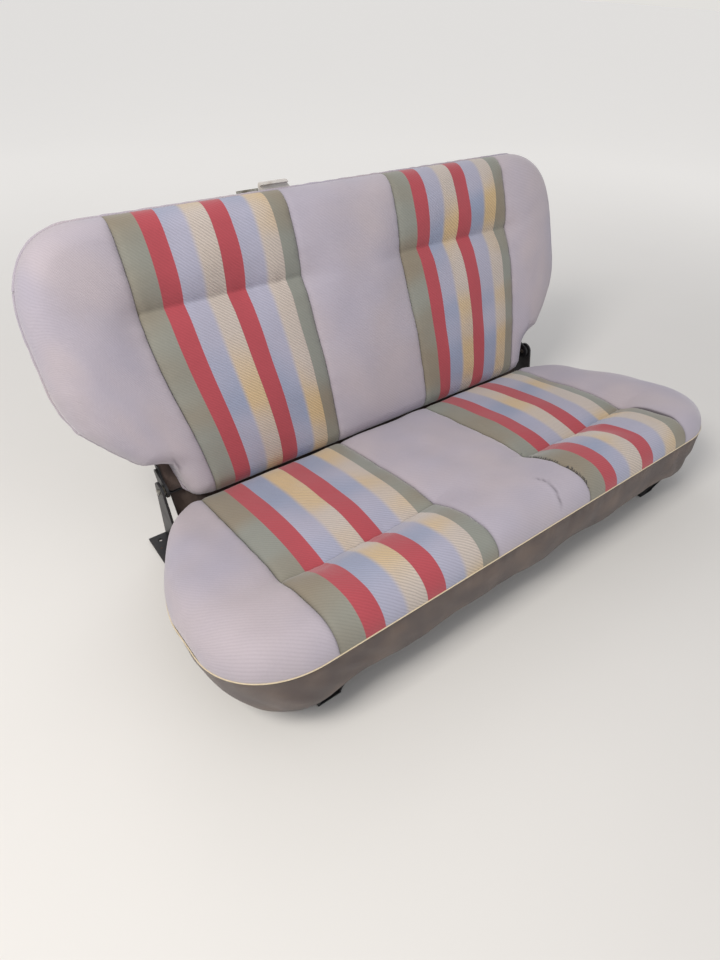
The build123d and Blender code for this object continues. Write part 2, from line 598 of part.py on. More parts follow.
def main():
    """Builds every piece and writes one file for each."""
    cushion_striped = CUSHION_PLANE * lofted(CUSHION_STRIPED, cushion_section)
    cushion_bolster = CUSHION_PLANE * lofted(CUSHION_BOLSTER, cushion_section)
    back_striped = BACK_PLANE * lofted(BACK_STRIPED, back_section)
    back_bolster = BACK_PLANE * backrest_bolster()
    springs = Compound(children=[zigzag_spring(x) for x in SPRING_X])
    parts = {
        "cushion_centre_panel": CUSHION_PLANE * lofted(CUSHION_CENTRE, cushion_section),
        "cushion_base_pad": cushion_base(),
        "cushion_tube_frame": cushion_frame(),
        "cushion_zigzag_springs": springs,
        "backrest_centre_panel": BACK_PLANE * lofted(BACK_CENTRE, back_section),
        "backrest_steel_tray": backrest_tray(),
        "backrest_foam_core": backrest_core(),
        "backrest_rear_carpet": backrest_carpet(),
        "release_handle": release_handle(),
        "release_catch_bracket": handle_catch(),
    }
    pairs = {
        "cushion_striped_panel": cushion_striped,
        "cushion_bolster": cushion_bolster,
        "cushion_rear_foot": rear_foot(),
        "cushion_hinge_leaf": hinge_leaf(),
        "front_hinge_bracket": hinge_bracket(),
        "front_hinge_pin": hinge_pin(),
        "backrest_striped_panel": back_striped,
        "backrest_bolster": back_bolster,
        "backrest_pivot_arm": pivot_arm(),
        "backrest_latch": latch(),
        "rear_pivot_bracket": pivot_bracket(),
        "rear_pivot_pin": pivot_pin(),
    }
    for name, left in pairs.items():
        parts[name + "_left"] = left
        parts[name + "_right"] = mirrored(left)
    os.makedirs("parts", exist_ok=True)
    for name, shape in parts.items():
        export_step(shape, f"parts/{name}.step")
    print("pivot", round(PIVOT_Y, 3), PIVOT_HEIGHT, "rear edge", round(REAR_EDGE_Y, 3))
    print("rail slope", round(degrees(RAIL_SLOPE), 3), "rear rail y", round(RAIL_REAR_Y, 3))


main()
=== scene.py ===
"""Looks of a folding rear bench seat from a small three-door car.

The sewn covers, skirt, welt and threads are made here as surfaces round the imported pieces, and the
steel, rubber and plastic pieces get their finishes. Metres; +X is the car's left and +Z is up.
"""

import json
import logging
from dataclasses import dataclass, field
from enum import Enum
from math import cos, pi, radians, sin
from typing import Callable

import bpy
import numpy as np
from mathutils import Matrix, Vector


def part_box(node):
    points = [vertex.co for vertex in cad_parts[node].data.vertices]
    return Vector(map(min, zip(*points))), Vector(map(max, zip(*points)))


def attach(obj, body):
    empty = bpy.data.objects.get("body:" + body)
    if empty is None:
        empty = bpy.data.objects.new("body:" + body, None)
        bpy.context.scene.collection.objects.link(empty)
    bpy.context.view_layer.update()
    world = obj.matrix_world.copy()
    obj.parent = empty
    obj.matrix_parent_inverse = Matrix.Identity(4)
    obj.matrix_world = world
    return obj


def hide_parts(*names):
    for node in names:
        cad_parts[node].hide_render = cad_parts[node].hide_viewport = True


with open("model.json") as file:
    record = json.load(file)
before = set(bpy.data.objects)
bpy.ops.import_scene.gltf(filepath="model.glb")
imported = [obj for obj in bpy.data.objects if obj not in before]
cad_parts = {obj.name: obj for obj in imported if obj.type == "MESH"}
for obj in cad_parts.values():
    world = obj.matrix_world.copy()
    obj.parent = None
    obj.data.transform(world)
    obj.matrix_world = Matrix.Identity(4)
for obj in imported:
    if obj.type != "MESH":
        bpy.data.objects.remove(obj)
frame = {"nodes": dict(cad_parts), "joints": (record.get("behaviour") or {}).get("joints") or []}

LOG = logging.getLogger("bench")
Array = np.ndarray
Colour = tuple[float, float, float]
Point = tuple[float, float, float]
WEAVE_MAP = "weave"
# Name of the point level that darkens the covers: grime, and painted shade in seams, seam gaps, tucks and
# creases.
SOIL_AND_SHADE = "soil"
UP = (0.0, 0.0, 1.0)
TINY = 1e-12


def srgb(red: int, green: int, blue: int) -> Colour:
    """A screen colour as scene-linear light.

    Args:
        red, green, blue: The colour from 0 to 255.

    Returns:
        The linear colour, by the sRGB curve: a straight toe, then a power of 2.4.
    """
    shares = [value / 255 for value in (red, green, blue)]
    return tuple(s / 12.92 if s <= 0.04045 else ((s + 0.055) / 1.055) ** 2.4 for s in shares)


class Wire:
    """A socket that adds nodes when it is used in an expression."""

    def __init__(self, board: "Board", socket: bpy.types.NodeSocket) -> None:
        """Keeps the board that the socket is on."""
        self.board = board
        self.socket = socket

    def _math(self, operation: str, *values: object) -> "Wire":
        """A Math node on one or two values."""
        return self.board.wire("ShaderNodeMath", {"operation": operation}, dict(enumerate(values)))

    @staticmethod
    def _both(operation: str) -> tuple[Callable, Callable]:
        """An operator with a Wire first, and the same with a Wire second.

        Args:
            operation: The Math node's operation.

        Returns:
            Two methods, for the left and the right side of the sign.
        """
        return (
            lambda wire, other: wire._math(operation, wire, other),
            lambda wire, other: wire._math(operation, other, wire),
        )

    __add__, __radd__ = _both("ADD")
    __sub__, __rsub__ = _both("SUBTRACT")
    __mul__, __rmul__ = _both("MULTIPLY")

    def __abs__(self) -> "Wire":
        """Size without sign."""
        return self._math("ABSOLUTE", self)

    def sine(self) -> "Wire":
        """Sine of the value in radians."""
        return self._math("SINE", self)

    def ramp(self, low: float, high: float) -> "Wire":
        """0 at low to 1 at high, eased at both ends.

        Args:
            low, high: Where the ramp begins and ends.

        Returns:
            The eased share.
        """
        settings = {"interpolation_type": "SMOOTHSTEP"}
        sockets = {"Value": self, "From Min": low, "From Max": high}
        return self.board.wire("ShaderNodeMapRange", settings, sockets)


class Board:
    """One material's node tree, and the way to write on it."""

    def __init__(self, name: str) -> None:
        """Makes the material and keeps its shader.

        Args:
            name: The material's name.
        """
        self.material = bpy.data.materials.new(name)
        self.material.use_nodes = True
        self.nodes = self.material.node_tree.nodes
        self.links = self.material.node_tree.links
        self.shader = self.nodes["Principled BSDF"]

    def feed(self, socket: bpy.types.NodeSocket, value: object) -> None:
        """Links a Wire to a socket, or sets a plain value on it.

        Args:
            socket: The socket.
            value: A Wire, a number, or a colour of three numbers.
        """
        if isinstance(value, Wire):
            self.links.new(value.socket, socket)
        elif isinstance(value, tuple) and len(value) == 3 and len(socket.default_value) == 4:
            socket.default_value = (*value, 1.0)
        else:
            socket.default_value = value

    def node(self, kind: str, settings: dict, sockets: dict) -> bpy.types.Node:
        """Any node.

        Args:
            kind: Its type name.
            settings: Attributes that are set first.
            sockets: Values or Wires by socket name or number.

        Returns:
            The node.
        """
        made = self.nodes.new(kind)
        for key, value in settings.items():
            setattr(made, key, value)
        for key, value in sockets.items():
            self.feed(made.inputs[key], value)
        return made

    def wire(self, kind: str, settings: dict, sockets: dict, output: object = 0) -> Wire:
        """A node's output as a Wire."""
        return Wire(self, self.node(kind, settings, sockets).outputs[output])

    def mix(self, first: object, second: object, share: object, blend: str = "MIX") -> Wire:
        """A colour from first at share 0 to second at share 1."""
        settings = {"data_type": "RGBA", "blend_type": blend}
        return self.wire("ShaderNodeMix", settings, {0: share, 6: first, 7: second}, 2)

    def shade(self, colour: object, level: Wire) -> Wire:
        """A colour times a grey level."""
        grey = self.wire("ShaderNodeCombineColor", {}, {0: level, 1: level, 2: level})
        return self.mix(colour, grey, 1.0, "MULTIPLY")

    def place(self) -> Wire:
        """Where a point is on the object, in metres."""
        return self.wire("ShaderNodeTexCoord", {}, {}, "Object")

    def weave(self) -> tuple[Wire, Wire]:
        """The cloth's own two lengths: across and along, in metres.

        Returns:
            Two Wires.
        """
        lengths = self.wire("ShaderNodeUVMap", {"uv_map": WEAVE_MAP}, {})
        split = self.node("ShaderNodeSeparateXYZ", {}, {0: lengths})
        return Wire(self, split.outputs[0]), Wire(self, split.outputs[1])

    def flat(self, across: Wire, along: Wire) -> Wire:
        """Two lengths as a vector."""
        return self.wire("ShaderNodeCombineXYZ", {}, {0: across, 1: along})

    def noise(self, where: Wire, size: float, detail: float = 2.0) -> Wire:
        """Soft noise from 0 to 1 whose blotches are about size metres."""
        sockets = {"Vector": where, "Scale": 1 / size, "Detail": detail}
        return self.wire("ShaderNodeTexNoise", {}, sockets, 0)

    def level(self, name: str) -> Wire:
        """A number kept on the mesh's points."""
        return self.wire("ShaderNodeAttribute", {"attribute_name": name}, {}, 2)

    def bump(self, height: Wire, depth: float) -> None:
        """Raises the surface by height times depth metres."""
        made = self.wire("ShaderNodeBump", {}, {"Height": height, "Distance": depth, "Strength": 1.0})
        self.feed(self.shader.inputs["Normal"], made)

    def set(self, **values: object) -> None:
        """Sets the shader's sockets; an underscore stands for a space."""
        for key, value in values.items():
            self.feed(self.shader.inputs[key.replace("_", " ")], value)


@dataclass(frozen=True)
class Twill:
    """Coarse diagonal rib of the cover cloth, and how it changes a colour."""

    pitch: float = 0.0052
    lean: float = radians(47)
    yarn: float = 0.0019
    relief: float = 0.00055
    contrast: float = 0.17
    wander: float = 0.9
    wander_size: float = 0.03

    def rib(self, board: Board, across: Wire, along: Wire) -> Wire:
        """Rounded ribs: the size of a sine whose phase grows across the rib's lean.

        Args:
            board: The material.
            across, along: The cloth's own lengths.

        Returns:
            0 in a valley to 1 on a rib.
        """
        phase = (across * cos(self.lean) - along * sin(self.lean)) * (pi / self.pitch)
        wander = board.noise(board.flat(across, along), self.wander_size) * self.wander
        return abs((phase + wander).sine())

    def yarns(self, across: Wire, along: Wire) -> Wire:
        """Short swells along each rib, where one yarn passes over the next."""
        phase = (across * sin(self.lean) + along * cos(self.lean)) * (2 * pi / self.yarn)
        return phase.sine() * 0.5 + 0.5


@dataclass(frozen=True)
class Cloth:
    """What all the light cover cloth shares."""

    twill: Twill = Twill()
    fuzz: float = 0.35
    roughness: float = 0.88
    rib_middle: float = 0.62
    fade_size: float = 0.09
    lint_size: float = 0.004
    yarn_depth: float = 0.07
    fade_depth: float = 0.14
    lint_depth: float = 0.08
    soil_and_shade_depth: float = 0.58
    yarn_relief: float = 0.2
    lint_relief: float = 0.25

    def dress(self, board: Board, colour: object, across: Wire, along: Wire, ribbing: object) -> None:
        """Lays colour, rib, wear, and soil that is grime and painted shade, on the board.

        Args:
            board: The material.
            colour: Base colour, a Wire or a plain one.
            across, along: The cloth's own lengths.
            ribbing: How strongly the ribs show, a number or a Wire.
        """
        rib = self.twill.rib(board, across, along)
        yarns = self.twill.yarns(across, along)
        where = board.flat(across, along)
        fade = board.noise(where, self.fade_size, detail=3.0)
        lint = board.noise(where, self.lint_size, detail=2.0)
        level = (rib - self.rib_middle) * (self.twill.contrast * ribbing) + 1.0
        for share, depth in ((yarns, self.yarn_depth), (fade, self.fade_depth), (lint, self.lint_depth)):
            level = level * (1 - depth / 2 + share * depth)
        # Darkens by the soil level: grime, and painted shade in seam gaps, seams, tucks and creases.
        level = level * (1.0 - board.level(SOIL_AND_SHADE) * self.soil_and_shade_depth)
        board.set(Base_Color=board.shade(colour, level), Roughness=self.roughness)
        board.set(Sheen_Weight=self.fuzz, Sheen_Roughness=0.45, Specular_IOR_Level=0.2)
        relief = rib * (1 - self.yarn_relief) + yarns * self.yarn_relief
        board.bump(relief * ribbing + lint * self.lint_relief, self.twill.relief)


@dataclass(frozen=True)
class PlainCloth:
    """Finish of the centre panels and bolsters."""

    cloth: Cloth = Cloth()
    tone: Colour = srgb(172, 166, 178)
    warm: Colour = srgb(182, 172, 177)
    drift_size: float = 0.22
    drift_range: tuple[float, float] = (0.3, 0.7)
    ribbing: float = 0.4

    def board(self) -> Board:
        """Lilac grey that drifts a little warmer.

        Returns:
            The finished material.
        """
        board = Board("plain_cloth")
        across, along = board.weave()
        drift = board.noise(board.flat(across, along), self.drift_size).ramp(*self.drift_range)
        colour = board.mix(self.tone, self.warm, drift)
        self.cloth.dress(board, colour, across, along, self.ribbing)
        return board


class Band(Enum):
    """Colours of the woven stripes."""

    SAGE = srgb(139, 141, 133)
    RED = srgb(172, 76, 84)
    LILAC = srgb(166, 165, 182)
    STRAW = srgb(200, 174, 132)


@dataclass(frozen=True)
class StripedCloth:
    """Finish of the striped panels: eight bands that run along the car."""

    cloth: Cloth = Cloth()
    bands: tuple[tuple[Band, float], ...] = (
        (Band.SAGE, 0.048),
        (Band.RED, 0.038),
        (Band.LILAC, 0.045),
        (Band.STRAW, 0.042),
        (Band.RED, 0.040),
        (Band.LILAC, 0.046),
        (Band.STRAW, 0.040),
        (Band.SAGE, 0.039),
    )
    ribbing: dict[Band, float] = field(
        default_factory=lambda: {Band.SAGE: 0.5, Band.RED: 0.6, Band.LILAC: 0.9, Band.STRAW: 1.6}
    )
    blue: Colour = srgb(144, 153, 176)
    cream: Colour = srgb(190, 179, 170)
    olive: Colour = srgb(138, 129, 113)
    drift_size: float = 0.16
    drift_range: tuple[float, float] = (0.38, 0.62)
    drift_squeeze: float = 0.35
    soft_edge: float = 0.006
    sharp_edge: float = 0.0005

    def board(self, start: float, name: str) -> Board:
        """The bands from x = start, with the light ones drifting along their length.

        Args:
            start: x of the panel's edge on the car's right.
            name: The material's name.

        Returns:
            The finished material.
        """
        board = Board(name)
        across, along = board.weave()
        where = board.flat(across * self.drift_squeeze, along)
        drift = board.noise(where, self.drift_size, detail=1.0).ramp(*self.drift_range)
        tints = {
            Band.SAGE: board.mix(Band.SAGE.value, self.olive, drift),
            Band.RED: Band.RED.value,
            Band.LILAC: board.mix(Band.LILAC.value, self.blue, drift),
            Band.STRAW: board.mix(Band.STRAW.value, self.cream, 1.0 - drift),
        }
        edge = start
        colour = tints[self.bands[0][0]]
        ribbing = self.ribbing[self.bands[0][0]]
        for (before, width), (after, _) in zip(self.bands, self.bands[1:]):
            edge += width
            soft = {before, after} == {Band.LILAC, Band.STRAW}
            blur = self.soft_edge if soft else self.sharp_edge
            share = across.ramp(edge - blur, edge + blur)
            colour = board.mix(colour, tints[after], share)
            ribbing = share * (self.ribbing[after] - self.ribbing[before]) + ribbing
        self.cloth.dress(board, colour, across, along, ribbing)
        return board


@dataclass(frozen=True)
class SkirtCloth:
    """Dark brown cloth below the welt."""

    tone: Colour = srgb(84, 71, 66)
    worn: Colour = srgb(110, 93, 82)
    pitch: float = 0.0016
    fade_size: float = 0.07
    fade_range: tuple[float, float] = (0.35, 0.75)
    grain_middle: float = 0.95
    grain_depth: float = 0.07
    grain_relief: float = 0.5
    lint_size: float = 0.002
    relief: float = 0.0003

    def board(self) -> Board:
        """Matt fine cloth with faded patches.

        Returns:
            The finished material.
        """
        board = Board("skirt_cloth")
        across, along = board.weave()
        where = board.flat(across, along)
        turn = 2 * pi / self.pitch
        grain = (across * turn).sine() * (along * turn).sine()
        fade = board.noise(where, self.fade_size, detail=3.0).ramp(*self.fade_range)
        level = self.grain_middle + grain * self.grain_depth
        colour = board.shade(board.mix(self.tone, self.worn, fade), level)
        board.set(Base_Color=colour, Roughness=0.93, Sheen_Weight=0.25, Sheen_Roughness=0.5)
        board.bump(grain * self.grain_relief + board.noise(where, self.lint_size), self.relief)
        return board


@dataclass(frozen=True)
class Fibre:
    """Needle-felt carpet or a thread: short fibres at random."""

    name: str
    tone: Colour
    fleck: Colour
    size: float = 0.0016
    relief: float = 0.0012
    fleck_size: float = 2.3
    fleck_range: tuple[float, float] = (0.55, 0.68)
    tuft_depth: float = 0.5

    def board(self) -> Board:
        """Flecked fibre pile.

        Returns:
            The finished material.
        """
        board = Board(self.name)
        where = board.place()
        tuft = board.noise(where, self.size, detail=4.0)
        fleck = board.noise(where, self.size * self.fleck_size, detail=2.0).ramp(*self.fleck_range)
        level = 1 - self.tuft_depth / 2 + tuft * self.tuft_depth
        colour = board.shade(board.mix(self.tone, self.fleck, fleck), level)
        board.set(Base_Color=colour, Roughness=0.97, Sheen_Weight=0.3, Sheen_Roughness=0.6)
        board.bump(tuft, self.relief)
        return board


@dataclass(frozen=True)
class Metal:
    """Steel, bare or plated, with fine specks and dull patches."""

    name: str
    tone: Colour
    dull: Colour
    roughness: float = 0.34
    patch_size: float = 0.018
    patch_range: tuple[float, float] = (0.35, 0.7)
    speck_size: float = 0.0021
    dulling: tuple[float, float] = (0.22, 0.08)
    relief: float = 0.00015

    def board(self) -> Board:
        """Metal whose gloss and tone vary in patches.

        Returns:
            The finished material.
        """
        board = Board(self.name)
        where = board.place()
        patch = board.noise(where, self.patch_size, detail=4.0).ramp(*self.patch_range)
        speck = board.noise(where, self.speck_size, detail=3.0)
        by_patch, by_speck = self.dulling
        board.set(Base_Color=board.mix(self.tone, self.dull, patch), Metallic=1.0)
        board.set(Roughness=self.roughness + patch * by_patch + speck * by_speck)
        board.bump(speck, self.relief)
        return board


@dataclass(frozen=True)
class Paint:
    """Satin black paint with dust and small spots of rust."""

    tone: Colour = srgb(34, 34, 36)
    dust: Colour = srgb(74, 70, 66)
    rust: Colour = srgb(104, 66, 44)
    roughness: float = 0.42
    dust_size: float = 0.05
    dust_range: tuple[float, float] = (0.42, 0.8)
    dust_depth: float = 0.6
    rust_size: float = 0.011
    rust_range: tuple[float, float] = (0.68, 0.74)
    peel_size: float = 0.003
    dulling: tuple[float, float] = (0.2, 0.3)
    rust_relief: float = 0.8
    relief: float = 0.00018

    def board(self) -> Board:
        """Mixes dust and then rust over the black.

        Returns:
            The finished material.
        """
        board = Board("black_paint")
        where = board.place()
        dusty = board.noise(where, self.dust_size, detail=4.0).ramp(*self.dust_range)
        spot = board.noise(where, self.rust_size, detail=5.0).ramp(*self.rust_range)
        peel = board.noise(where, self.peel_size, detail=2.0)
        by_dust, by_rust = self.dulling
        colour = board.mix(board.mix(self.tone, self.dust, dusty * self.dust_depth), self.rust, spot)
        board.set(Base_Color=colour, Specular_IOR_Level=0.45)
        board.set(Roughness=self.roughness + dusty * by_dust + spot * by_rust)
        board.bump(peel + spot * self.rust_relief, self.relief)
        return board


@dataclass(frozen=True)
class Moulding:
    """Moulded plastic or rubber with a fine spark grain."""

    name: str
    tone: Colour
    soiled: Colour
    roughness: float = 0.5
    grain: float = 0.0009
    grub_size: float = 0.02
    grub_range: tuple[float, float] = (0.45, 0.8)
    dulling: float = 0.2
    relief: float = 0.0002

    def board(self) -> Board:
        """Grained moulding that is grubby in patches.

        Returns:
            The finished material.
        """
        board = Board(self.name)
        where = board.place()
        grain = board.noise(where, self.grain, detail=2.0)
        grub = board.noise(where, self.grub_size, detail=4.0).ramp(*self.grub_range)
        board.set(Base_Color=board.mix(self.tone, self.soiled, grub))
        board.set(Roughness=self.roughness + grain * self.dulling)
        board.bump(grain, self.relief)
        return board


@dataclass(frozen=True)
class Placement:
    """A pad's own frame: x across the car, v along the pad and w out of its show face."""

    origin: tuple[float, float]
    along: tuple[float, float]
    out: tuple[float, float]

    def world(self, points: Array) -> Array:
        """Points (x, v, w) of the pad as points of the car.

        Args:
            points: Array whose last axis is x, v, w.

        Returns:
            The same array with x, y, z, by y and z = origin + v * along + w * out.
        """
        x, v, w = np.moveaxis(points, -1, 0)
        y = self.origin[0] + v * self.along[0] + w * self.out[0]
        z = self.origin[1] + v * self.along[1] + w * self.out[1]
        return np.stack([x, y, z], axis=-1)


def joint_place(name: str) -> Vector:
    """Where the named joint's axis is."""
    return Vector(next(j["pos_m"] for j in frame["joints"] if j["name"] == name))


CENTRE_SEAM, OUTER_SEAM = 0.128, 0.466
CUSHION_HALF_WIDTH = float(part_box("cushion_bolster_left")[1][0])
CUSHION_REAR_EDGE = (0.436593, 0.128)
CUSHION_TILT = radians(11)
CUSHION_PLACE = Placement(
    origin=CUSHION_REAR_EDGE,
    along=(-cos(CUSHION_TILT), sin(CUSHION_TILT)),
    out=(sin(CUSHION_TILT), cos(CUSHION_TILT)),
)
BACK_HALF_WIDTH = 0.646
PIVOT = joint_place("backrest_fold")
BACK_RECLINE = radians(19)
BACK_PLACE = Placement(
    origin=(PIVOT.y, PIVOT.z),
    along=(sin(BACK_RECLINE), cos(BACK_RECLINE)),
    out=(-cos(BACK_RECLINE), sin(BACK_RECLINE)),
)


def graded(count: int, first: float, last: float, zone: float = 0.22) -> Array:
    """Steps from 0 to 1 that shrink towards the ends.

    Args:
        count: Number of steps.
        first, last: The step at each end as a share of the middle one.
        zone: Share of the count over which a step grows to its full length.

    Returns:
        count + 1 places, the running sum of steps min(1, first + u / zone, last + (1 - u) / zone).
    """
    u = (np.arange(count) + 0.5) / count
    steps = np.minimum(1.0, np.minimum(first + u / zone, last + (1 - u) / zone))
    return np.concatenate([[0.0], np.cumsum(steps)]) / steps.sum()


def between(coarse: Array, factor: int) -> Array:
    """Places between coarse ones, by a cubic through the neighbours in index."""
    return refine_weights(len(coarse), factor) @ coarse


def refine_weights(count: int, factor: int) -> Array:
    """Weights that carry count samples to factor times as many.

    Args:
        count: Number of coarse samples.
        factor: Fine steps in each coarse step.

    Returns:
        A matrix of Catmull-Rom weights, its end samples repeated.
    """
    fine = np.arange((count - 1) * factor + 1) / factor
    base = np.minimum(fine.astype(int), count - 2)
    t = fine - base
    weights = np.stack(
        [
            -0.5 * t + t**2 - 0.5 * t**3,
            1 - 2.5 * t**2 + 1.5 * t**3,
            0.5 * t + 2 * t**2 - 1.5 * t**3,
            -0.5 * t**2 + 0.5 * t**3,
        ]
    )
    matrix = np.zeros((len(fine), count))
    rows = np.arange(len(fine))
    for offset, row in zip((-1, 0, 1, 2), weights):
        np.add.at(matrix, (rows, np.clip(base + offset, 0, count - 1)), row)
    return matrix


def through(knots: Array, heights: Array, at: Array) -> Array:
    """A smooth curve through heights at knots.

    Args:
        knots: Rising places.
        heights: The value at each, one for all points or a row of its own for each point.
        at: Where the curve is wanted.

    Returns:
        Cubic Hermite pieces whose slope at a knot is that of its neighbours.
    """
    if heights.ndim == 1:
        heights = np.broadcast_to(heights.reshape((-1,) + (1,) * at.ndim), (len(knots),) + at.shape)
    slopes = np.gradient(heights, knots, axis=0)
    at = np.clip(at, knots[0], knots[-1])
    index = np.clip(np.searchsorted(knots, at) - 1, 0, len(knots) - 2)
    span = knots[index + 1] - knots[index]
    t = (at - knots[index]) / span
    low, high = (np.take_along_axis(heights, index[None] + k, 0)[0] for k in (0, 1))
    start, end = (np.take_along_axis(slopes, index[None] + k, 0)[0] * span for k in (0, 1))
    rise = high - low
    return low + t * start + t**2 * (3 * rise - 2 * start - end) + t**3 * (start + end - 2 * rise)


def ease(value: Array, low: float, high: float) -> Array:
    """0 below low to 1 above high, with level ends."""
    t = np.clip((value - low) / (high - low), 0, 1)
    return t * t * (3 - 2 * t)


def quarter_roll(distance: Array, reach: Array, power: float = 2.2) -> Array:
    """How far a rolled edge has dropped, as a share of its depth.

    Args:
        distance: How far a point lies inside the edge.
        reach: How far inside the roll begins.
        power: 2 is round, more is fuller.

    Returns:
        1 at the edge to 0 at reach, on a quarter of a superellipse.
    """
    t = np.clip(1 - distance / reach, 0, 1)
    return 1 - (1 - t**power) ** (1 / power)


def soft_noise(x: Array, v: Array, size: float, seed: int, terms: int = 14) -> Array:
    """Smooth noise of about unit size: a sum of plane sines in seeded directions.

    Args:
        x, v: Where the noise is wanted.
        size: Length of its waves.
        seed: Seed of the draws.
        terms: How many sines are added.

    Returns:
        The sum over the square root of half the terms.
    """
    draw = np.random.default_rng(seed)
    angle = draw.uniform(0, 2 * pi, terms)
    length = size * draw.uniform(0.7, 1.6, terms)
    phase = draw.uniform(0, 2 * pi, terms)
    waves = [
        np.sin(2 * pi * (x * np.cos(a) + v * np.sin(a)) / s + p) for a, s, p in zip(angle, length, phase)
    ]
    return sum(waves) / np.sqrt(terms / 2)


def signed_volume(points: Array, quads: Array) -> float:
    """Six times what closed quads enclose, above 0 where they point outwards."""
    a, b, c, d = (points[quads[:, k]] for k in range(4))
    return np.einsum("ij,ij->", a, np.cross(b, c)) + np.einsum("ij,ij->", a, np.cross(c, d))


def arc_length(points: Array, axis: int = 0) -> Array:
    """Distance run along one axis of a line or grid of points, from 0."""
    steps = np.linalg.norm(np.diff(points, axis=axis), axis=-1)
    return np.concatenate([np.zeros_like(steps.take([0], axis)), np.cumsum(steps, axis=axis)], axis)


def wrapped(grid: Array, axis: int = 1) -> Array:
    """A grid with its first entry again at the end of an axis."""
    return np.concatenate([grid, grid.take([0], axis)], axis)


def outwards(ring: Array, reach: int) -> Array:
    """Unit vectors out of a plan ring, square to the line between the points reach steps away.

    Args:
        ring: A closed path, as points (x, v).
        reach: Steps to each side.

    Returns:
        One vector for each point.
    """
    ahead = np.roll(ring, -reach, axis=0) - np.roll(ring, reach, axis=0)
    out = np.stack([ahead[:, 1], -ahead[:, 0]], axis=1)
    out /= np.linalg.norm(out, axis=1, keepdims=True)
    return out * np.sign(((ring - ring.mean(0)) * out).sum(1).mean())


def resampled(path: Array, count: int) -> Array:
    """A closed path at even steps of its length.

    Args:
        path: Points, the first not repeated.
        count: How many points are wanted.

    Returns:
        The new points, the first not repeated.
    """
    closed = wrapped(path, 0)
    run = arc_length(closed)
    at = np.linspace(0, run[-1], count, endpoint=False)
    return np.stack([np.interp(at, run, closed[:, k]) for k in range(closed.shape[1])], axis=1)


def boundary(grid: Array) -> Array:
    """The rim of a grid once round, its first entry not repeated."""
    return np.concatenate([grid[:-1, 0], grid[-1, :-1], grid[:0:-1, -1], grid[0, :0:-1]])


class Shell:
    """Quads gathered from grids of numbered points, then made into one object."""

    def __init__(self) -> None:
        """Starts with no points."""
        self.points: list[Array] = []
        self.quads: list[Array] = []
        self.maps: list[Array] = []
        self.levels: list[Array] = []
        self.count = 0

    def add_points(self, points: Array, soil: Array | float = 0.0) -> Array:
        """Adds a grid of points.

        Args:
            points: Array (rows, columns, 3).
            soil: Level of grime and of painted shade at the points.

        Returns:
            Their numbers, as a grid of the same rows and columns.
        """
        shape = points.shape[:2]
        self.points.append(points.reshape(-1, 3))
        self.levels.append(np.broadcast_to(soil, shape).reshape(-1))
        numbers = self.count + np.arange(shape[0] * shape[1]).reshape(shape)
        self.count += shape[0] * shape[1]
        return numbers

    def add_faces(self, numbers: Array, cloth: Array) -> None:
        """Faces over a grid of point numbers, with the cloth's lengths at each.

        Args:
            numbers: Grid of point numbers.
            cloth: Array (rows, columns, 2) in metres.
        """
        def corners(grid: Array) -> Array:
            """The four corners of each cell."""
            parts = [grid[:-1, :-1], grid[1:, :-1], grid[1:, 1:], grid[:-1, 1:]]
            return np.stack(parts, axis=2).reshape((-1, 4) + grid.shape[2:])

        self.quads.append(corners(numbers))
        self.maps.append(corners(cloth))

    def enclose(self, front: Array, back: Array, rings: list[Array], cloth: Array, walls: Array) -> None:
        """Faces over two grids of points, and over the walls between their rims.

        Args:
            front, back: Point numbers of the two grids, alike in shape.
            rings: Grids of point numbers, their rows in order from the front's rim to the back's.
            cloth: The cloth's lengths at the front's points.
            walls: The same at the walls' points, with the first column again at the end.
        """
        self.add_faces(front, cloth)
        self.add_faces(back[:, ::-1], cloth[:, ::-1])
        rows = np.concatenate([boundary(front)[None], *rings, boundary(back)[None]])
        self.add_faces(wrapped(rows), walls)

    def extend(self, other: "Shell") -> None:
        """Takes in another shell as a separate island.

        Args:
            other: The shell.
        """
        self.points += other.points
        self.levels += other.levels
        self.quads += [quads + self.count for quads in other.quads]
        self.maps += other.maps
        self.count += other.count

    def make(self, name: str, material: bpy.types.Material) -> bpy.types.Object:
        """The finished object, its faces pointing outwards.

        Args:
            name: The object's name.
            material: Its finish.

        Returns:
            A mesh object at the origin. A closed shell whose signed volume is negative is turned.
        """
        points = np.concatenate(self.points)
        quads = np.concatenate(self.quads)
        cloth = np.concatenate(self.maps)
        if signed_volume(points, quads) < 0:
            quads = quads[:, ::-1]
            cloth = cloth[:, ::-1]
        mesh = bpy.data.meshes.new(name)
        mesh.from_pydata(points, [], quads.tolist())
        layer = mesh.uv_layers.new(name=WEAVE_MAP)
        layer.data.foreach_set("uv", cloth.astype(np.float32).ravel())
        # The soil level is grime and painted shade: seam gaps, seams, tucks and creases are darkened.
        soil = mesh.attributes.new(SOIL_AND_SHADE, "FLOAT", "POINT")
        soil.data.foreach_set("value", np.concatenate(self.levels).astype(np.float32))
        mesh.polygons.foreach_set("use_smooth", np.ones(len(quads), bool))
        mesh.materials.append(material)
        mesh.update()
        piece = bpy.data.objects.new(name, mesh)
        bpy.context.scene.collection.objects.link(piece)
        return piece


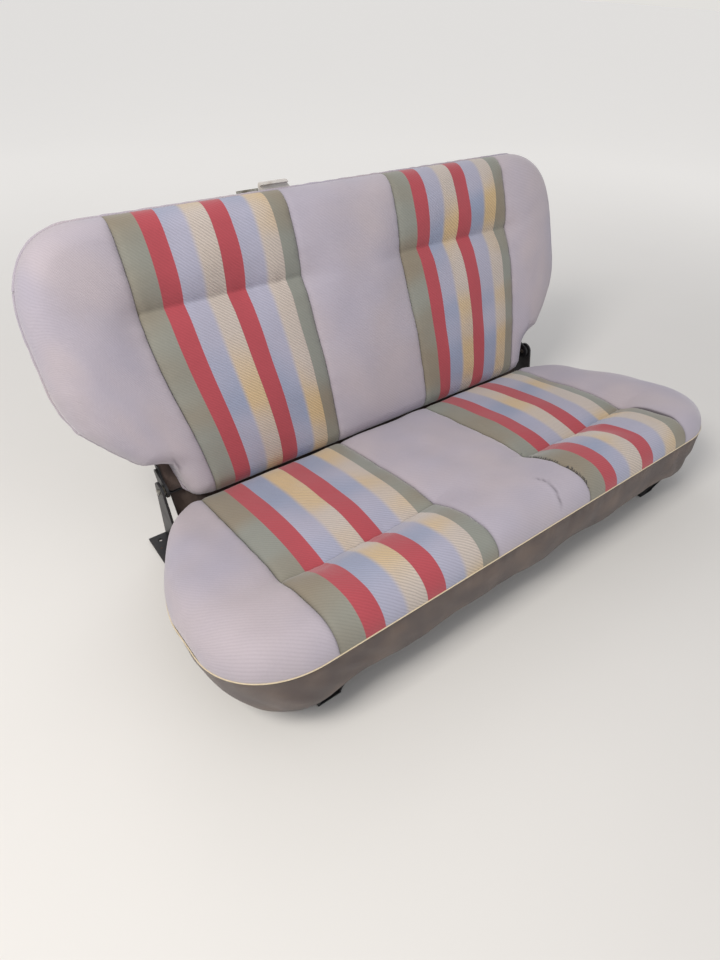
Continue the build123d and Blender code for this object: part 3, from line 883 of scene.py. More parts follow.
def tube_shell(
    path: Array, radius: Array | float, sides: int, closed: bool, ring_step: float = 0.004
) -> Shell:
    """A round bar along a path.

    Args:
        path: Array (count, 3).
        radius: One radius, or one for each point.
        sides: Faces round the bar.
        closed: Whether the path's end joins its start.
        ring_step: The cloth's length from ring to ring.

    Returns:
        Rings of radius about the path, in the plane across its direction. Open ends close in a point.
    """
    ahead = np.roll(path, -1, axis=0) - np.roll(path, 1, axis=0)
    if not closed:
        ahead[0] = path[1] - path[0]
        ahead[-1] = path[-1] - path[-2]
    ahead /= np.linalg.norm(ahead, axis=1, keepdims=True)
    steep = np.abs(ahead @ np.array(UP))[:, None] >= 0.9
    steady = np.where(steep, np.array((1.0, 0, 0)), np.array(UP))
    side = np.cross(ahead, steady)
    side /= np.linalg.norm(side, axis=1, keepdims=True)
    lift = np.cross(side, ahead)
    radii = np.broadcast_to(radius, len(path)).astype(float)
    turn = np.arange(sides) * 2 * pi / sides
    ring = np.cos(turn)[None, :, None] * side[:, None] + np.sin(turn)[None, :, None] * lift[:, None]
    points = path[:, None] + radii[:, None, None] * ring
    if not closed:
        caps = np.repeat(path[[0, -1], None], sides, axis=1)
        points = np.concatenate([caps[:1], points, caps[1:]])
    shell = Shell()
    numbers = shell.add_points(points)
    run = np.arange(len(points))[:, None] * ring_step + 0 * turn[None]
    cloth = np.stack([np.broadcast_to(turn * radii.mean(), run.shape), run], axis=-1)
    numbers, cloth = wrapped(numbers), wrapped(cloth)
    if closed:
        numbers, cloth = wrapped(numbers, 0), wrapped(cloth, 0)
    shell.add_faces(numbers, cloth)
    return shell


class Side(Enum):
    """The car's left and right."""

    LEFT = 1
    RIGHT = -1


@dataclass(frozen=True)
class Panel:
    """One sewn piece of a cover, from seam to seam or from seam to side."""

    name: str
    node: str
    start: float
    end: float
    columns: int
    tucked: bool = False
    outer: bool = False


@dataclass
class Pad:
    """A padded cover drawn over its plan and swelled by a short cloth simulation.

    The height of its show face comes from profiles along v, in millimetres at the knots: at a seam,
    in the middle of a striped panel and of the centre panel, and at three places across a bolster.
    Pucker and soil, which is grime and painted shade, have one value for the seams and one for the tuck,
    rows has one below and one above the tuck, and hold_reach has one for the seams and one for the rim.
    The steps are shares of a full step. seam_start and far_share are the ends of a range. seam_shade is
    painted shade on the walls in the seam gaps.
    """

    place: Placement
    half_width: float
    tuck: float
    length: float
    floor: float
    roll_near: float
    roll_far: float
    low_near: float
    low_far: float
    side_end: float
    corner_start: float
    corner_powers: tuple[float, float]
    knots: tuple[float, ...]
    seam: tuple[float, ...]
    striped: tuple[float, ...]
    centre: tuple[float, ...]
    bolster: tuple[tuple[float, tuple[float, ...]], ...]
    grime_and_shade: float
    seed: int
    crown_power: float = 2.6
    seam_depth: float = 0.0035
    seam_reach: float = 0.014
    seam_power: float = 2.1
    seam_gap: float = 0.0003
    stitch_depth: float = 0.003
    stitch_reach: float = 0.009
    stitch_power: float = 1.6
    wave_height: float = 0.0009
    wave_size: float = 0.11
    pucker_height: float = 0.0005
    pucker_reach: tuple[float, float] = (0.012, 0.014)
    pucker_size: tuple[float, float] = (0.026, 0.024)
    pucker_squeeze: float = 0.2
    soil_and_shade_reach: tuple[float, float] = (0.0020, 0.0014)
    tuck_grime_and_shade: float = 0.35
    seam_shade: float = 1.6
    seam_start: tuple[float, float] = (0.004, 0.008)
    far_share: tuple[float, float] = (0.06, 0.3)
    rows: tuple[int, int] = (26, 16)
    rim_step: float = 0.02
    seam_step: float = 0.35
    tuck_step: float = 0.3
    side_power: float = 1.5
    refine: int = 3
    walls: int = 5
    straight: float = 0.46
    straight_points: int = 12
    hold_reach: tuple[float, float] = (0.010, 0.012)
    swell: dict[str, Array] = field(default_factory=dict)

    def near_edge(self, x: Array) -> Array:
        """v of the outline's near side at x."""
        raise NotImplementedError

    def far_edge(self, x: Array) -> Array:
        """v of the outline's far side at x.

        Args:
            x: Distance from the middle.

        Returns:
            v of the outline, straight and then a corner 1 - (1 - t ** a) ** (1 / b), with t from
            corner_start to the side.
        """
        a, b = self.corner_powers
        t = np.clip((x - self.corner_start) / (self.half_width - self.corner_start), 0, 1)
        return self.length - (self.length - self.side_end) * (1 - (1 - t**a) ** (1 / b))

    def kinks(self) -> Array:
        """Places across the pad where the outline turns sharply."""
        return np.zeros(0)

    def sway(self, v: Array) -> Array:
        """How far the outer seam leaves its straight line at v, towards the middle."""
        return 0 * v

    def wear(self, panel: Panel, x: Array, v: Array) -> tuple[Array, Array]:
        """What wear adds to a panel's height, and its soil: grime and painted shade."""
        return 0 * x, 0 * x

    def profile(self, heights: tuple[float, ...], v: Array) -> Array:
        """One profile's w at v."""
        return through(np.array(self.knots), np.array(heights) / 1000, v)

    def height(self, panel: Panel, x: Array, v: Array) -> Array:
        """w of the cover before its edges are rolled.

        Args:
            panel: The panel.
            x, v: Plan points.

        Returns:
            Between seams, seam + (middle - seam) * (1 - |2 p - 1| ** crown_power), with p from 0 to 1
            across. On a bolster, a smooth curve through the seam's and each station's profile.
        """
        p = np.clip(np.abs(x - panel.start) / abs(panel.end - panel.start), 0, 1)
        seam = self.profile(self.seam, v)
        if not panel.outer:
            middle = self.profile(self.striped if panel.tucked else self.centre, v)
            return seam + (middle - seam) * (1 - np.abs(2 * p - 1) ** self.crown_power)
        places = np.array([0.0] + [station for station, _ in self.bolster])
        profiles = [seam] + [self.profile(heights, v) for _, heights in self.bolster]
        return through(places, np.stack(profiles), p)

    def outline(self, count: int = 160) -> Array:
        """The plan once round, closer together towards the side.

        Args:
            count: Points from the straight part to the side.

        Returns:
            Points (x, v), from the middle of the near side round by the car's left.
        """
        turn = self.half_width - (self.half_width - self.straight) * (1 - np.linspace(0, 1, count)) ** 3
        level = np.linspace(0, self.straight, self.straight_points, endpoint=False)
        x = np.unique(np.concatenate([level, turn, self.kinks()]))
        x = x[x <= self.half_width]
        back = x[::-1]
        edges = np.concatenate([self.near_edge(x), self.far_edge(back)])
        right = np.stack([np.concatenate([x, back]), edges], 1)
        left = right[::-1] * np.array([-1, 1])
        return np.concatenate([right, left])

    def inside(self, x: Array, v: Array, batch: int = 4000) -> Array:
        """Distance from each point to the outline: the least over the outline's straight bits.

        Args:
            x, v: Plan points.
            batch: How many are measured at a time.

        Returns:
            The distances, in the shape of x.
        """
        start = self.outline()
        step = np.roll(start, -1, axis=0) - start
        square = np.maximum((step**2).sum(1), TINY)
        points = np.stack([x.ravel(), v.ravel()], 1)
        least = []
        for first in range(0, len(points), batch):
            away = points[first : first + batch, None] - start
            share = np.clip((away * step).sum(-1) / square, 0, 1)
            gap = away - share[..., None] * step
            least.append(np.sqrt((gap**2).sum(-1)).min(1))
        return np.concatenate(least).reshape(x.shape)

    def grid(self, panel: Panel, factor: int) -> tuple[Array, Array]:
        """Plan points of a panel.

        Args:
            panel: The panel.
            factor: How many fine steps a coarse one has.

        Returns:
            x and v, columns across the car and rows along the pad.
        """
        across = graded(panel.columns, self.seam_step, self.rim_step if panel.outer else self.seam_step)
        near = graded(self.rows[0], self.rim_step, self.tuck_step) * (self.tuck / self.length)
        far = graded(self.rows[1], self.tuck_step, self.rim_step) * (1 - self.tuck / self.length)
        along = np.concatenate([near, self.tuck / self.length + far[1:]])
        if factor > 1:
            across = np.clip(between(across, factor), 0, 1)
            along = np.clip(between(along, factor), 0, 1)
        if panel.outer:
            across = 1 - (1 - across) ** self.side_power
        gap = self.seam_gap * (1 if panel.end > panel.start else -1)
        start = panel.start + gap
        end = panel.end if panel.outer else panel.end - gap
        x = (start + (end - start) * across)[:, None] + 0 * along[None]
        return x, self.lattice(np.abs(x), 0 * x + along)

    def lattice(self, x: Array, share: Array) -> Array:
        """v at a share of the way from the near side to the far side."""
        low, high = self.near_edge(x), self.far_edge(x)
        return low + (high - low) * share

    def bent(self, x: Array, v: Array) -> Array:
        """x after the outer seam's sway, which fades to nothing at the centre seam and at the side.

        Args:
            x, v: Plan points.

        Returns:
            The new x.
        """
        reach = np.abs(x)
        within = (reach - CENTRE_SEAM) / (OUTER_SEAM - CENTRE_SEAM)
        beyond = (self.half_width - reach) / (self.half_width - OUTER_SEAM)
        share = np.where(reach < OUTER_SEAM, within, beyond)
        return x - np.sign(x) * self.sway(v) * np.clip(share, 0, 1)

    def seam_distance(self, panel: Panel, x: Array) -> Array:
        """How far a point lies from the nearest seam of its panel."""
        apart = np.abs(x - panel.start)
        return apart if panel.outer else np.minimum(apart, np.abs(x - panel.end))

    def face(self, panel: Panel, x: Array, v: Array) -> tuple[Array, Array]:
        """The show face of a panel.

        Args:
            panel: The panel.
            x, v: Plan points.

        Returns:
            Points (x, v, w) and their soil, which is grime and painted shade along seams, tuck and
            creases. The height has the seam's valley, the tuck's crease, small puckers that die away from
            the seam, and an edge that rolls
            to low: w + (low - w) * roll.
        """
        seam = self.seam_distance(panel, x)
        edge = self.inside(x, v)
        w = self.height(panel, x, v)
        w = w - self.seam_depth * np.clip(1 - seam / self.seam_reach, 0, 1) ** self.seam_power
        w = w + self.wave_height * soft_noise(x, v, self.wave_size, self.seed)
        squeeze = self.pucker_squeeze
        gathers = soft_noise(x * squeeze, v, self.pucker_size[0], self.seed + 1)
        pucker = np.exp(-seam / self.pucker_reach[0]) * gathers
        # Darkening along the seam: grime, and painted shade in the seam's valley.
        soil = self.grime_and_shade * np.exp(-seam / self.soil_and_shade_reach[0])
        if panel.tucked:
            apart = np.abs(v - self.tuck)
            w = w - self.stitch_depth * np.clip(1 - apart / self.stitch_reach, 0, 1) ** self.stitch_power
            gathers = soft_noise(x, v * squeeze, self.pucker_size[1], self.seed + 2)
            pucker = pucker + np.exp(-apart / self.pucker_reach[1]) * gathers
            # Darkening along the tuck: grime, and painted shade in its crease.
            soil = soil + self.tuck_grime_and_shade * np.exp(-apart / self.soil_and_shade_reach[1])
        worn, grime_and_shade = self.wear(panel, x, v)
        w = w + self.pucker_height * pucker + worn
        soil = soil + grime_and_shade
        far = ease(v / self.length, *self.far_share)
        reach = self.roll_near + (self.roll_far - self.roll_near) * far
        low = self.low_near + (self.low_far - self.low_near) * far
        w = w + (low - w) * quarter_roll(edge, reach)
        return np.stack([self.bent(x, v), v, w], -1), np.clip(soil, 0, 1)

    def closed(self, panel: Panel, factor: int) -> tuple[Shell, Array]:
        """A panel's closed shell: show face, back face and the walls between their rims.

        Args:
            panel: The panel.
            factor: 1 for the simulation, or the fine steps in a coarse one.

        Returns:
            The shell in the car's frame, and the numbers of its show face's points.
        """
        x, v = self.grid(panel, factor)
        face, soil = self.face(panel, x, v)
        top = self.place.world(face)
        if factor > 1 and panel.name in self.swell:
            coarse = self.swell[panel.name]
            rows, columns = (refine_weights(n, factor) for n in coarse.shape[:2])
            top = top + np.einsum("ai,bj,ijk->abk", rows, columns, coarse)
        bottom = self.place.world(np.stack([self.bent(x, v), v, np.full_like(x, self.floor)], -1))
        shell = Shell()
        top_numbers = shell.add_points(top, soil)
        bottom_numbers = shell.add_points(bottom)
        run = arc_length(top, 1)
        tuck_row = self.rows[0] * factor
        run = run - run[:, tuck_row : tuck_row + 1] + self.tuck
        across = x if not panel.outer else panel.start + np.sign(panel.end) * arc_length(top)
        cloth = np.stack([across, -np.sign(self.place.along[0]) * run], -1)
        rim_top, rim_bottom = boundary(top), boundary(bottom)
        shares = np.linspace(0, 1, self.walls + 1)
        share = shares[1:-1, None, None]
        # Painted shade: the panel walls in the seam gaps are darkened nearly to black, by seam_shade.
        dark = self.seam_shade * ease(boundary(self.inside(x, v)), *self.seam_start)[None]
        rings = shell.add_points(rim_top * (1 - share) + rim_bottom * share, dark)
        drop = np.linalg.norm(rim_bottom - rim_top, axis=1)[None] * shares[:, None]
        away = boundary(cloth) - cloth.reshape(-1, 2).mean(0)
        away /= np.linalg.norm(away, axis=1, keepdims=True)
        walls = wrapped(boundary(cloth)[None] + drop[..., None] * away[None])
        shell.enclose(top_numbers, bottom_numbers, [rings], cloth, walls)
        return shell, top_numbers

    def pins(self, panel: Panel) -> Array:
        """How firmly each point of the simulated face is held.

        Args:
            panel: The panel.

        Returns:
            1 at seams, tuck and rim, 0 between.
        """
        x, v = self.grid(panel, 1)
        seam, rim = self.hold_reach
        hold = np.exp(-((self.seam_distance(panel, x) / seam) ** 2))
        hold = np.maximum(hold, np.exp(-((self.inside(x, v) / rim) ** 2)))
        if panel.tucked:
            hold = np.maximum(hold, np.exp(-(((v - self.tuck) / seam) ** 2)))
        return hold


@dataclass
class CushionPad(Pad):
    """The cushion's cover. v runs from the rear edge to the front, w up."""

    place: Placement = CUSHION_PLACE
    half_width: float = CUSHION_HALF_WIDTH + 0.001
    tuck: float = 0.334
    length: float = 0.512
    floor: float = -0.0455
    roll_near: float = 0.020
    roll_far: float = 0.048
    low_near: float = -0.015
    low_far: float = -0.0425
    side_start: float = 0.28
    side_end: float = 0.362
    rear_half_width: float = 0.505
    rear_round: float = 0.02
    corner_start: float = 0.486
    corner_powers: tuple[float, float] = (2.1, 2.1)
    overlap: float = 0.006
    knots: tuple[float, ...] = (
        0.0, 0.06, 0.15, 0.22, 0.275, 0.31, 0.334, 0.352, 0.375, 0.405, 0.445, 0.48, 0.512
    )
    seam: tuple[float, ...] = (-1.0, -0.5, 0.5, -0.5, -3.5, -8.0, -11.0, -5.5, 2.0, 6.5, 8.5, 7.0, 4.0)
    striped: tuple[float, ...] = (0.0, 1.5, 3.0, 1.0, -5.5, -13.0, -19.0, -12.0, -1.0, 6.0, 9.5, 8.0, 4.0)
    centre: tuple[float, ...] = (0.0, 2.0, 3.5, 4.0, 4.0, 4.0, 4.5, 5.0, 6.0, 7.5, 9.0, 7.5, 4.0)
    bolster: tuple[tuple[float, tuple[float, ...]], ...] = (
        (0.30, (0.0, 3.0, 5.0, 5.0, 4.0, 3.0, 3.0, 4.0, 6.0, 8.0, 9.0, 7.0, 4.0)),
        (0.62, (2.0, 5.0, 8.0, 9.0, 9.0, 9.0, 9.0, 9.0, 9.0, 9.0, 8.5, 7.0, 4.0)),
        (1.00, (-2.0, 0.0, 2.0, 4.0, 4.0, 4.0, 4.0, 3.0, 2.0, 1.0, 0.0, 0.0, 0.0)),
    )
    grime_and_shade: float = 0.75
    seed: int = 3
    crease: tuple[tuple[float, float], ...] = (
        (0.044, 0.437),
        (0.054, 0.462),
        (0.052, 0.485),
        (0.043, 0.512),
    )
    crease_start: tuple[float, float] = (0.430, 0.450)
    crease_end: tuple[float, float] = (0.504, 0.512)
    crease_width: float = 0.0023
    crease_depth: float = 0.0026
    crease_soil_and_shade: float = 0.8
    ridge_height: float = 0.0013
    ridge_place: float = 0.006
    ridge_width: float = 0.004
    open_seam: tuple[float, float] = (0.350, 0.500)
    open_power: float = 1.3
    open_lift: float = 0.0040
    open_drop: float = 0.0022
    open_reach: tuple[float, float] = (0.012, 0.0020)
    open_soil_and_shade: float = 0.9
    rear_powers: tuple[float, float] = (1.4, 0.62)

    def wear(self, panel: Panel, x: Array, v: Array) -> tuple[Array, Array]:
        """An arc crease near the centre panel's front, and a gaping seam beside the left bolster.

        Args:
            panel: The panel.
            x, v: Plan points.

        Returns:
            Height to add, and soil: grime and painted shade along the crease and the gaping seam.
        """
        if panel.start < 0 < panel.end:
            path = np.array(self.crease)
            away = np.abs(x - np.interp(v, path[:, 1], path[:, 0]))
            live = ease(v, *self.crease_start) * (1 - ease(v, *self.crease_end))
            near = live * np.exp(-((away / self.crease_width) ** 2))
            ridge = live * np.exp(-(((away - self.ridge_place) / self.ridge_width) ** 2))
            # The crease is darkened with grime and painted shade.
            return self.ridge_height * ridge - self.crease_depth * near, self.crease_soil_and_shade * near
        if panel.end > 0 and (panel.outer or panel.tucked):
            low, high = self.open_seam
            live = np.sin(pi * np.clip((v - low) / (high - low), 0, 1)) ** self.open_power
            away = np.abs(x - OUTER_SEAM)
            lift = self.open_lift if panel.outer else -self.open_drop
            lift = lift * np.exp(-away / self.open_reach[0])
            # The gaping seam is darkened with grime and painted shade.
            return live * lift, live * self.open_soil_and_shade * np.exp(-away / self.open_reach[1])
        return 0 * x, 0 * x

    def near_edge(self, x: Array) -> Array:
        """Rear outline: straight, then bowed forwards to the side, 1 - (1 - t ** a) ** b.

        Args:
            x: Distance from the middle.

        Returns:
            v of the outline.
        """
        a, b = self.rear_powers
        start = self.rear_half_width - self.rear_round
        t = np.clip((x - start) / (self.half_width - start), 0, 1)
        return -self.overlap + (self.side_start + self.overlap) * (1 - (1 - t**a) ** b)


@dataclass
class BackrestPad(Pad):
    """The backrest's cover. v runs up from the pivot's level, w forwards from the pivot's axis."""

    place: Placement = BACK_PLACE
    half_width: float = BACK_HALF_WIDTH
    tuck: float = 0.338
    length: float = 0.503
    floor: float = -0.0143
    roll_near: float = 0.036
    roll_far: float = 0.040
    low_near: float = 0.0
    low_far: float = -0.006
    foot: float = -0.039
    side_end: float = 0.330
    corner_start: float = 0.505
    corner_powers: tuple[float, float] = (2.4, 2.3)
    knots: tuple[float, ...] = (
        -0.038, 0.0, 0.06, 0.11, 0.16, 0.21, 0.26, 0.305, 0.338, 0.360, 0.385, 0.42, 0.46, 0.503
    )
    seam: tuple[float, ...] = (
        36.0, 43.0, 47.5, 48.5, 46.5, 42.5, 38.0, 33.0, 28.0, 33.0, 37.0, 38.0, 36.0, 31.0
    )
    striped: tuple[float, ...] = (
        37.0, 44.0, 50.0, 52.0, 50.5, 46.5, 41.5, 35.0, 25.0, 33.0, 38.5, 40.5, 38.5, 32.0
    )
    centre: tuple[float, ...] = (
        37.0, 45.0, 51.5, 54.0, 53.5, 51.5, 49.0, 46.5, 45.0, 44.5, 44.5, 44.0, 41.0, 34.0
    )
    bolster: tuple[tuple[float, tuple[float, ...]], ...] = (
        (0.25, (36.0, 42.0, 49.0, 51.0, 51.0, 49.0, 48.0, 47.0, 46.5, 46.5, 47.0, 47.0, 44.0, 36.0)),
        (0.60, (34.0, 38.0, 43.0, 45.0, 47.0, 48.0, 49.0, 50.0, 50.0, 50.0, 50.0, 49.0, 44.0, 34.0)),
        (1.00, (24.0, 24.0, 26.0, 28.0, 30.0, 32.0, 34.0, 35.0, 35.0, 35.0, 34.0, 32.0, 28.0, 22.0)),
    )
    grime_and_shade: float = 0.42
    seed: int = 11
    calm_rise: float = 0.26
    calm_share: float = 0.1
    drift: float = 0.036
    drift_end: float = 0.30
    notch: tuple[tuple[float, float], ...] = (
        (0.470, 0.0),
        (0.496, 0.006),
        (0.508, 0.024),
        (0.514, 0.086),
        (0.530, 0.096),
        (0.560, 0.104),
        (0.594, 0.150),
        (0.627, 0.197),
        (0.640, 0.236),
        (0.6461, 0.273),
    )

    def near_edge(self, x: Array) -> Array:
        """Lower outline: level, then up past the pivot bracket to the side."""
        places, rises = np.array(self.notch).T
        return self.foot + np.interp(x, places, rises)

    def kinks(self) -> Array:
        """The notch's corners."""
        return np.array(self.notch)[:, 0]

    def lattice(self, x: Array, share: Array) -> Array:
        """Rows that leave the notch's steps behind by exp(-share / calm_share).

        Args:
            x: Distance from the middle.
            share: Share of the way from the near side.

        Returns:
            v of each point.
        """
        calm = self.foot + self.calm_rise * ease(x, OUTER_SEAM, self.half_width)
        step = self.near_edge(x) - calm
        fading = np.exp(-share / self.calm_share) * (1 - share)
        return calm + (self.far_edge(x) - calm) * share + step * fading

    def sway(self, v: Array) -> Array:
        """The outer seam leans inwards over the lower half."""
        return self.drift * (1 - ease(v, self.foot, self.drift_end))


@dataclass(frozen=True)
class Stuffing:
    """Short cloth simulation that fills the covers like the foam does."""

    frames: int = 20
    pressure: float = 4.0
    spare: float = 0.015
    cap: float = 0.007
    plain_passes: int = 4
    tucked_passes: int = 2

    def settle(self, pads: list[tuple[Pad, list[Panel]]]) -> None:
        """Swells every panel at once and keeps each face's movement on its pad.

        Args:
            pads: Each pad with its panels. All are simulated as one mesh of separate shells, held at
                seams, tucks, rims and backs. A movement d is capped to d / sqrt(1 + (d / cap) ** 2).
        """
        points, quads, holds, spots = [], [], [], []
        count = 0
        for pad, panels in pads:
            for panel in panels:
                shell, numbers = pad.closed(panel, 1)
                own = np.concatenate(shell.points)
                hold = np.ones(len(own))
                hold[numbers.ravel()] = pad.pins(panel).ravel()
                spots.append((pad, panel, count + numbers))
                points.append(own)
                faces = np.concatenate(shell.quads)
                turn = 1 if signed_volume(own, faces) > 0 else -1
                quads.append(faces[:, ::turn] + count)
                holds.append(hold)
                count += len(own)
        rest = np.concatenate(points)
        mesh = bpy.data.meshes.new("stuffing")
        mesh.from_pydata(rest, [], np.concatenate(quads).tolist())
        body = bpy.data.objects.new("stuffing", mesh)
        bpy.context.scene.collection.objects.link(body)
        group = body.vertex_groups.new(name="hold")
        for index, weight in enumerate(np.concatenate(holds)):
            group.add([index], float(weight), "REPLACE")
        moved = self.run(body) - rest
        bpy.data.objects.remove(body)
        size = np.linalg.norm(moved, axis=1, keepdims=True)
        moved = moved / np.sqrt(1 + (size / self.cap) ** 2)
        for pad, panel, numbers in spots:
            passes = self.tucked_passes if panel.tucked else self.plain_passes
            pad.swell[panel.name] = self.calmed(moved[numbers], passes)
        LOG.info("stuffing: %d points, mean swell %.4f m, most %.4f m", count, size.mean(), size.max())

    @staticmethod
    def calmed(moved: Array, passes: int) -> Array:
        """Movement without folds as small as one cell: weights 1, 2, 1 both ways, rim kept.

        Args:
            moved: Array (rows, columns, 3).
            passes: How often the weights are applied.

        Returns:
            The calmer movement.
        """
        for _ in range(passes):
            for axis in (0, 1):
                wide = np.moveaxis(moved, axis, 0).copy()
                wide[1:-1] = (wide[:-2] + 2 * wide[1:-1] + wide[2:]) / 4
                moved = np.moveaxis(wide, 0, axis)
        return moved

    def run(self, body: bpy.types.Object) -> Array:
        """Steps the cloth.

        Args:
            body: All the shells as one object.

        Returns:
            The points after the last frame.
        """
        cloth = body.modifiers.new("fill", "CLOTH")
        settings = cloth.settings
        settings.quality = 5
        settings.mass = 0.25
        settings.tension_stiffness = 12
        settings.compression_stiffness = 12
        settings.shear_stiffness = 4
        settings.bending_stiffness = 0.4
        settings.use_pressure = True
        settings.uniform_pressure_force = self.pressure
        settings.shrink_min = -self.spare
        settings.effector_weights.gravity = 0
        settings.vertex_group_mass = "hold"
        settings.pin_stiffness = 1.0
        cloth.collision_settings.use_collision = False
        cloth.point_cache.frame_start = 1
        cloth.point_cache.frame_end = self.frames
        scene = bpy.context.scene
        for number in range(1, self.frames + 1):
            scene.frame_set(number)
        ready = body.evaluated_get(bpy.context.evaluated_depsgraph_get())
        result = np.zeros(len(ready.data.vertices) * 3, np.float32)
        ready.data.vertices.foreach_get("co", result)
        scene.frame_set(1)
        return result.reshape(-1, 3).astype(float)


@dataclass
class Upholstery:
    """All the sewn covers of the bench."""

    plain: PlainCloth = PlainCloth()
    striped: StripedCloth = StripedCloth()
    columns: tuple[int, int, int] = (20, 24, 16)

    def panels(self, part: str) -> list[Panel]:
        """The five panels of the cushion or the backrest.

        Args:
            part: cushion or backrest.

        Returns:
            The centre panel, then the striped panel and the bolster of each side.
        """
        half = CUSHION_HALF_WIDTH if part == "cushion" else BACK_HALF_WIDTH
        middle, between, outside = self.columns
        made = [Panel(f"{part}_centre_cover", f"{part}_centre_panel", -CENTRE_SEAM, CENTRE_SEAM, middle)]
        for side in Side:
            word, sign = side.name.lower(), side.value
            seam, edge = sign * OUTER_SEAM, sign * half
            striped = (f"{part}_striped_cover_{word}", f"{part}_striped_panel_{word}")
            bolster = (f"{part}_bolster_cover_{word}", f"{part}_bolster_{word}")
            made.append(Panel(*striped, sign * CENTRE_SEAM, seam, between, tucked=True))
            made.append(Panel(*bolster, seam, edge, outside, outer=True))
        return made

    def build(self, pads: dict[str, Pad]) -> bpy.types.Material:
        """Makes, dresses and mounts every cover.

        Args:
            pads: The pad of each body, by its name.

        Returns:
            The plain cloth's material.
        """
        work = [(pad, self.panels(part)) for part, pad in pads.items()]
        Stuffing().settle(work)
        plain = self.plain.board().material
        starts = {Side.LEFT: CENTRE_SEAM, Side.RIGHT: -OUTER_SEAM}
        striped = {
            side: self.striped.board(start, f"striped_cloth_{side.name.lower()}").material
            for side, start in starts.items()
        }
        for (part, pad), (_, panels) in zip(pads.items(), work):
            for panel in panels:
                side = Side.LEFT if panel.end > 0 else Side.RIGHT
                finish = striped[side] if panel.tucked else plain
                shell, _ = pad.closed(panel, pad.refine)
                cover = shell.make(panel.name, finish)
                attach(cover, part)
                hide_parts(panel.node)
                LOG.info("%s: %d faces", panel.name, len(cover.data.polygons))
        return plain


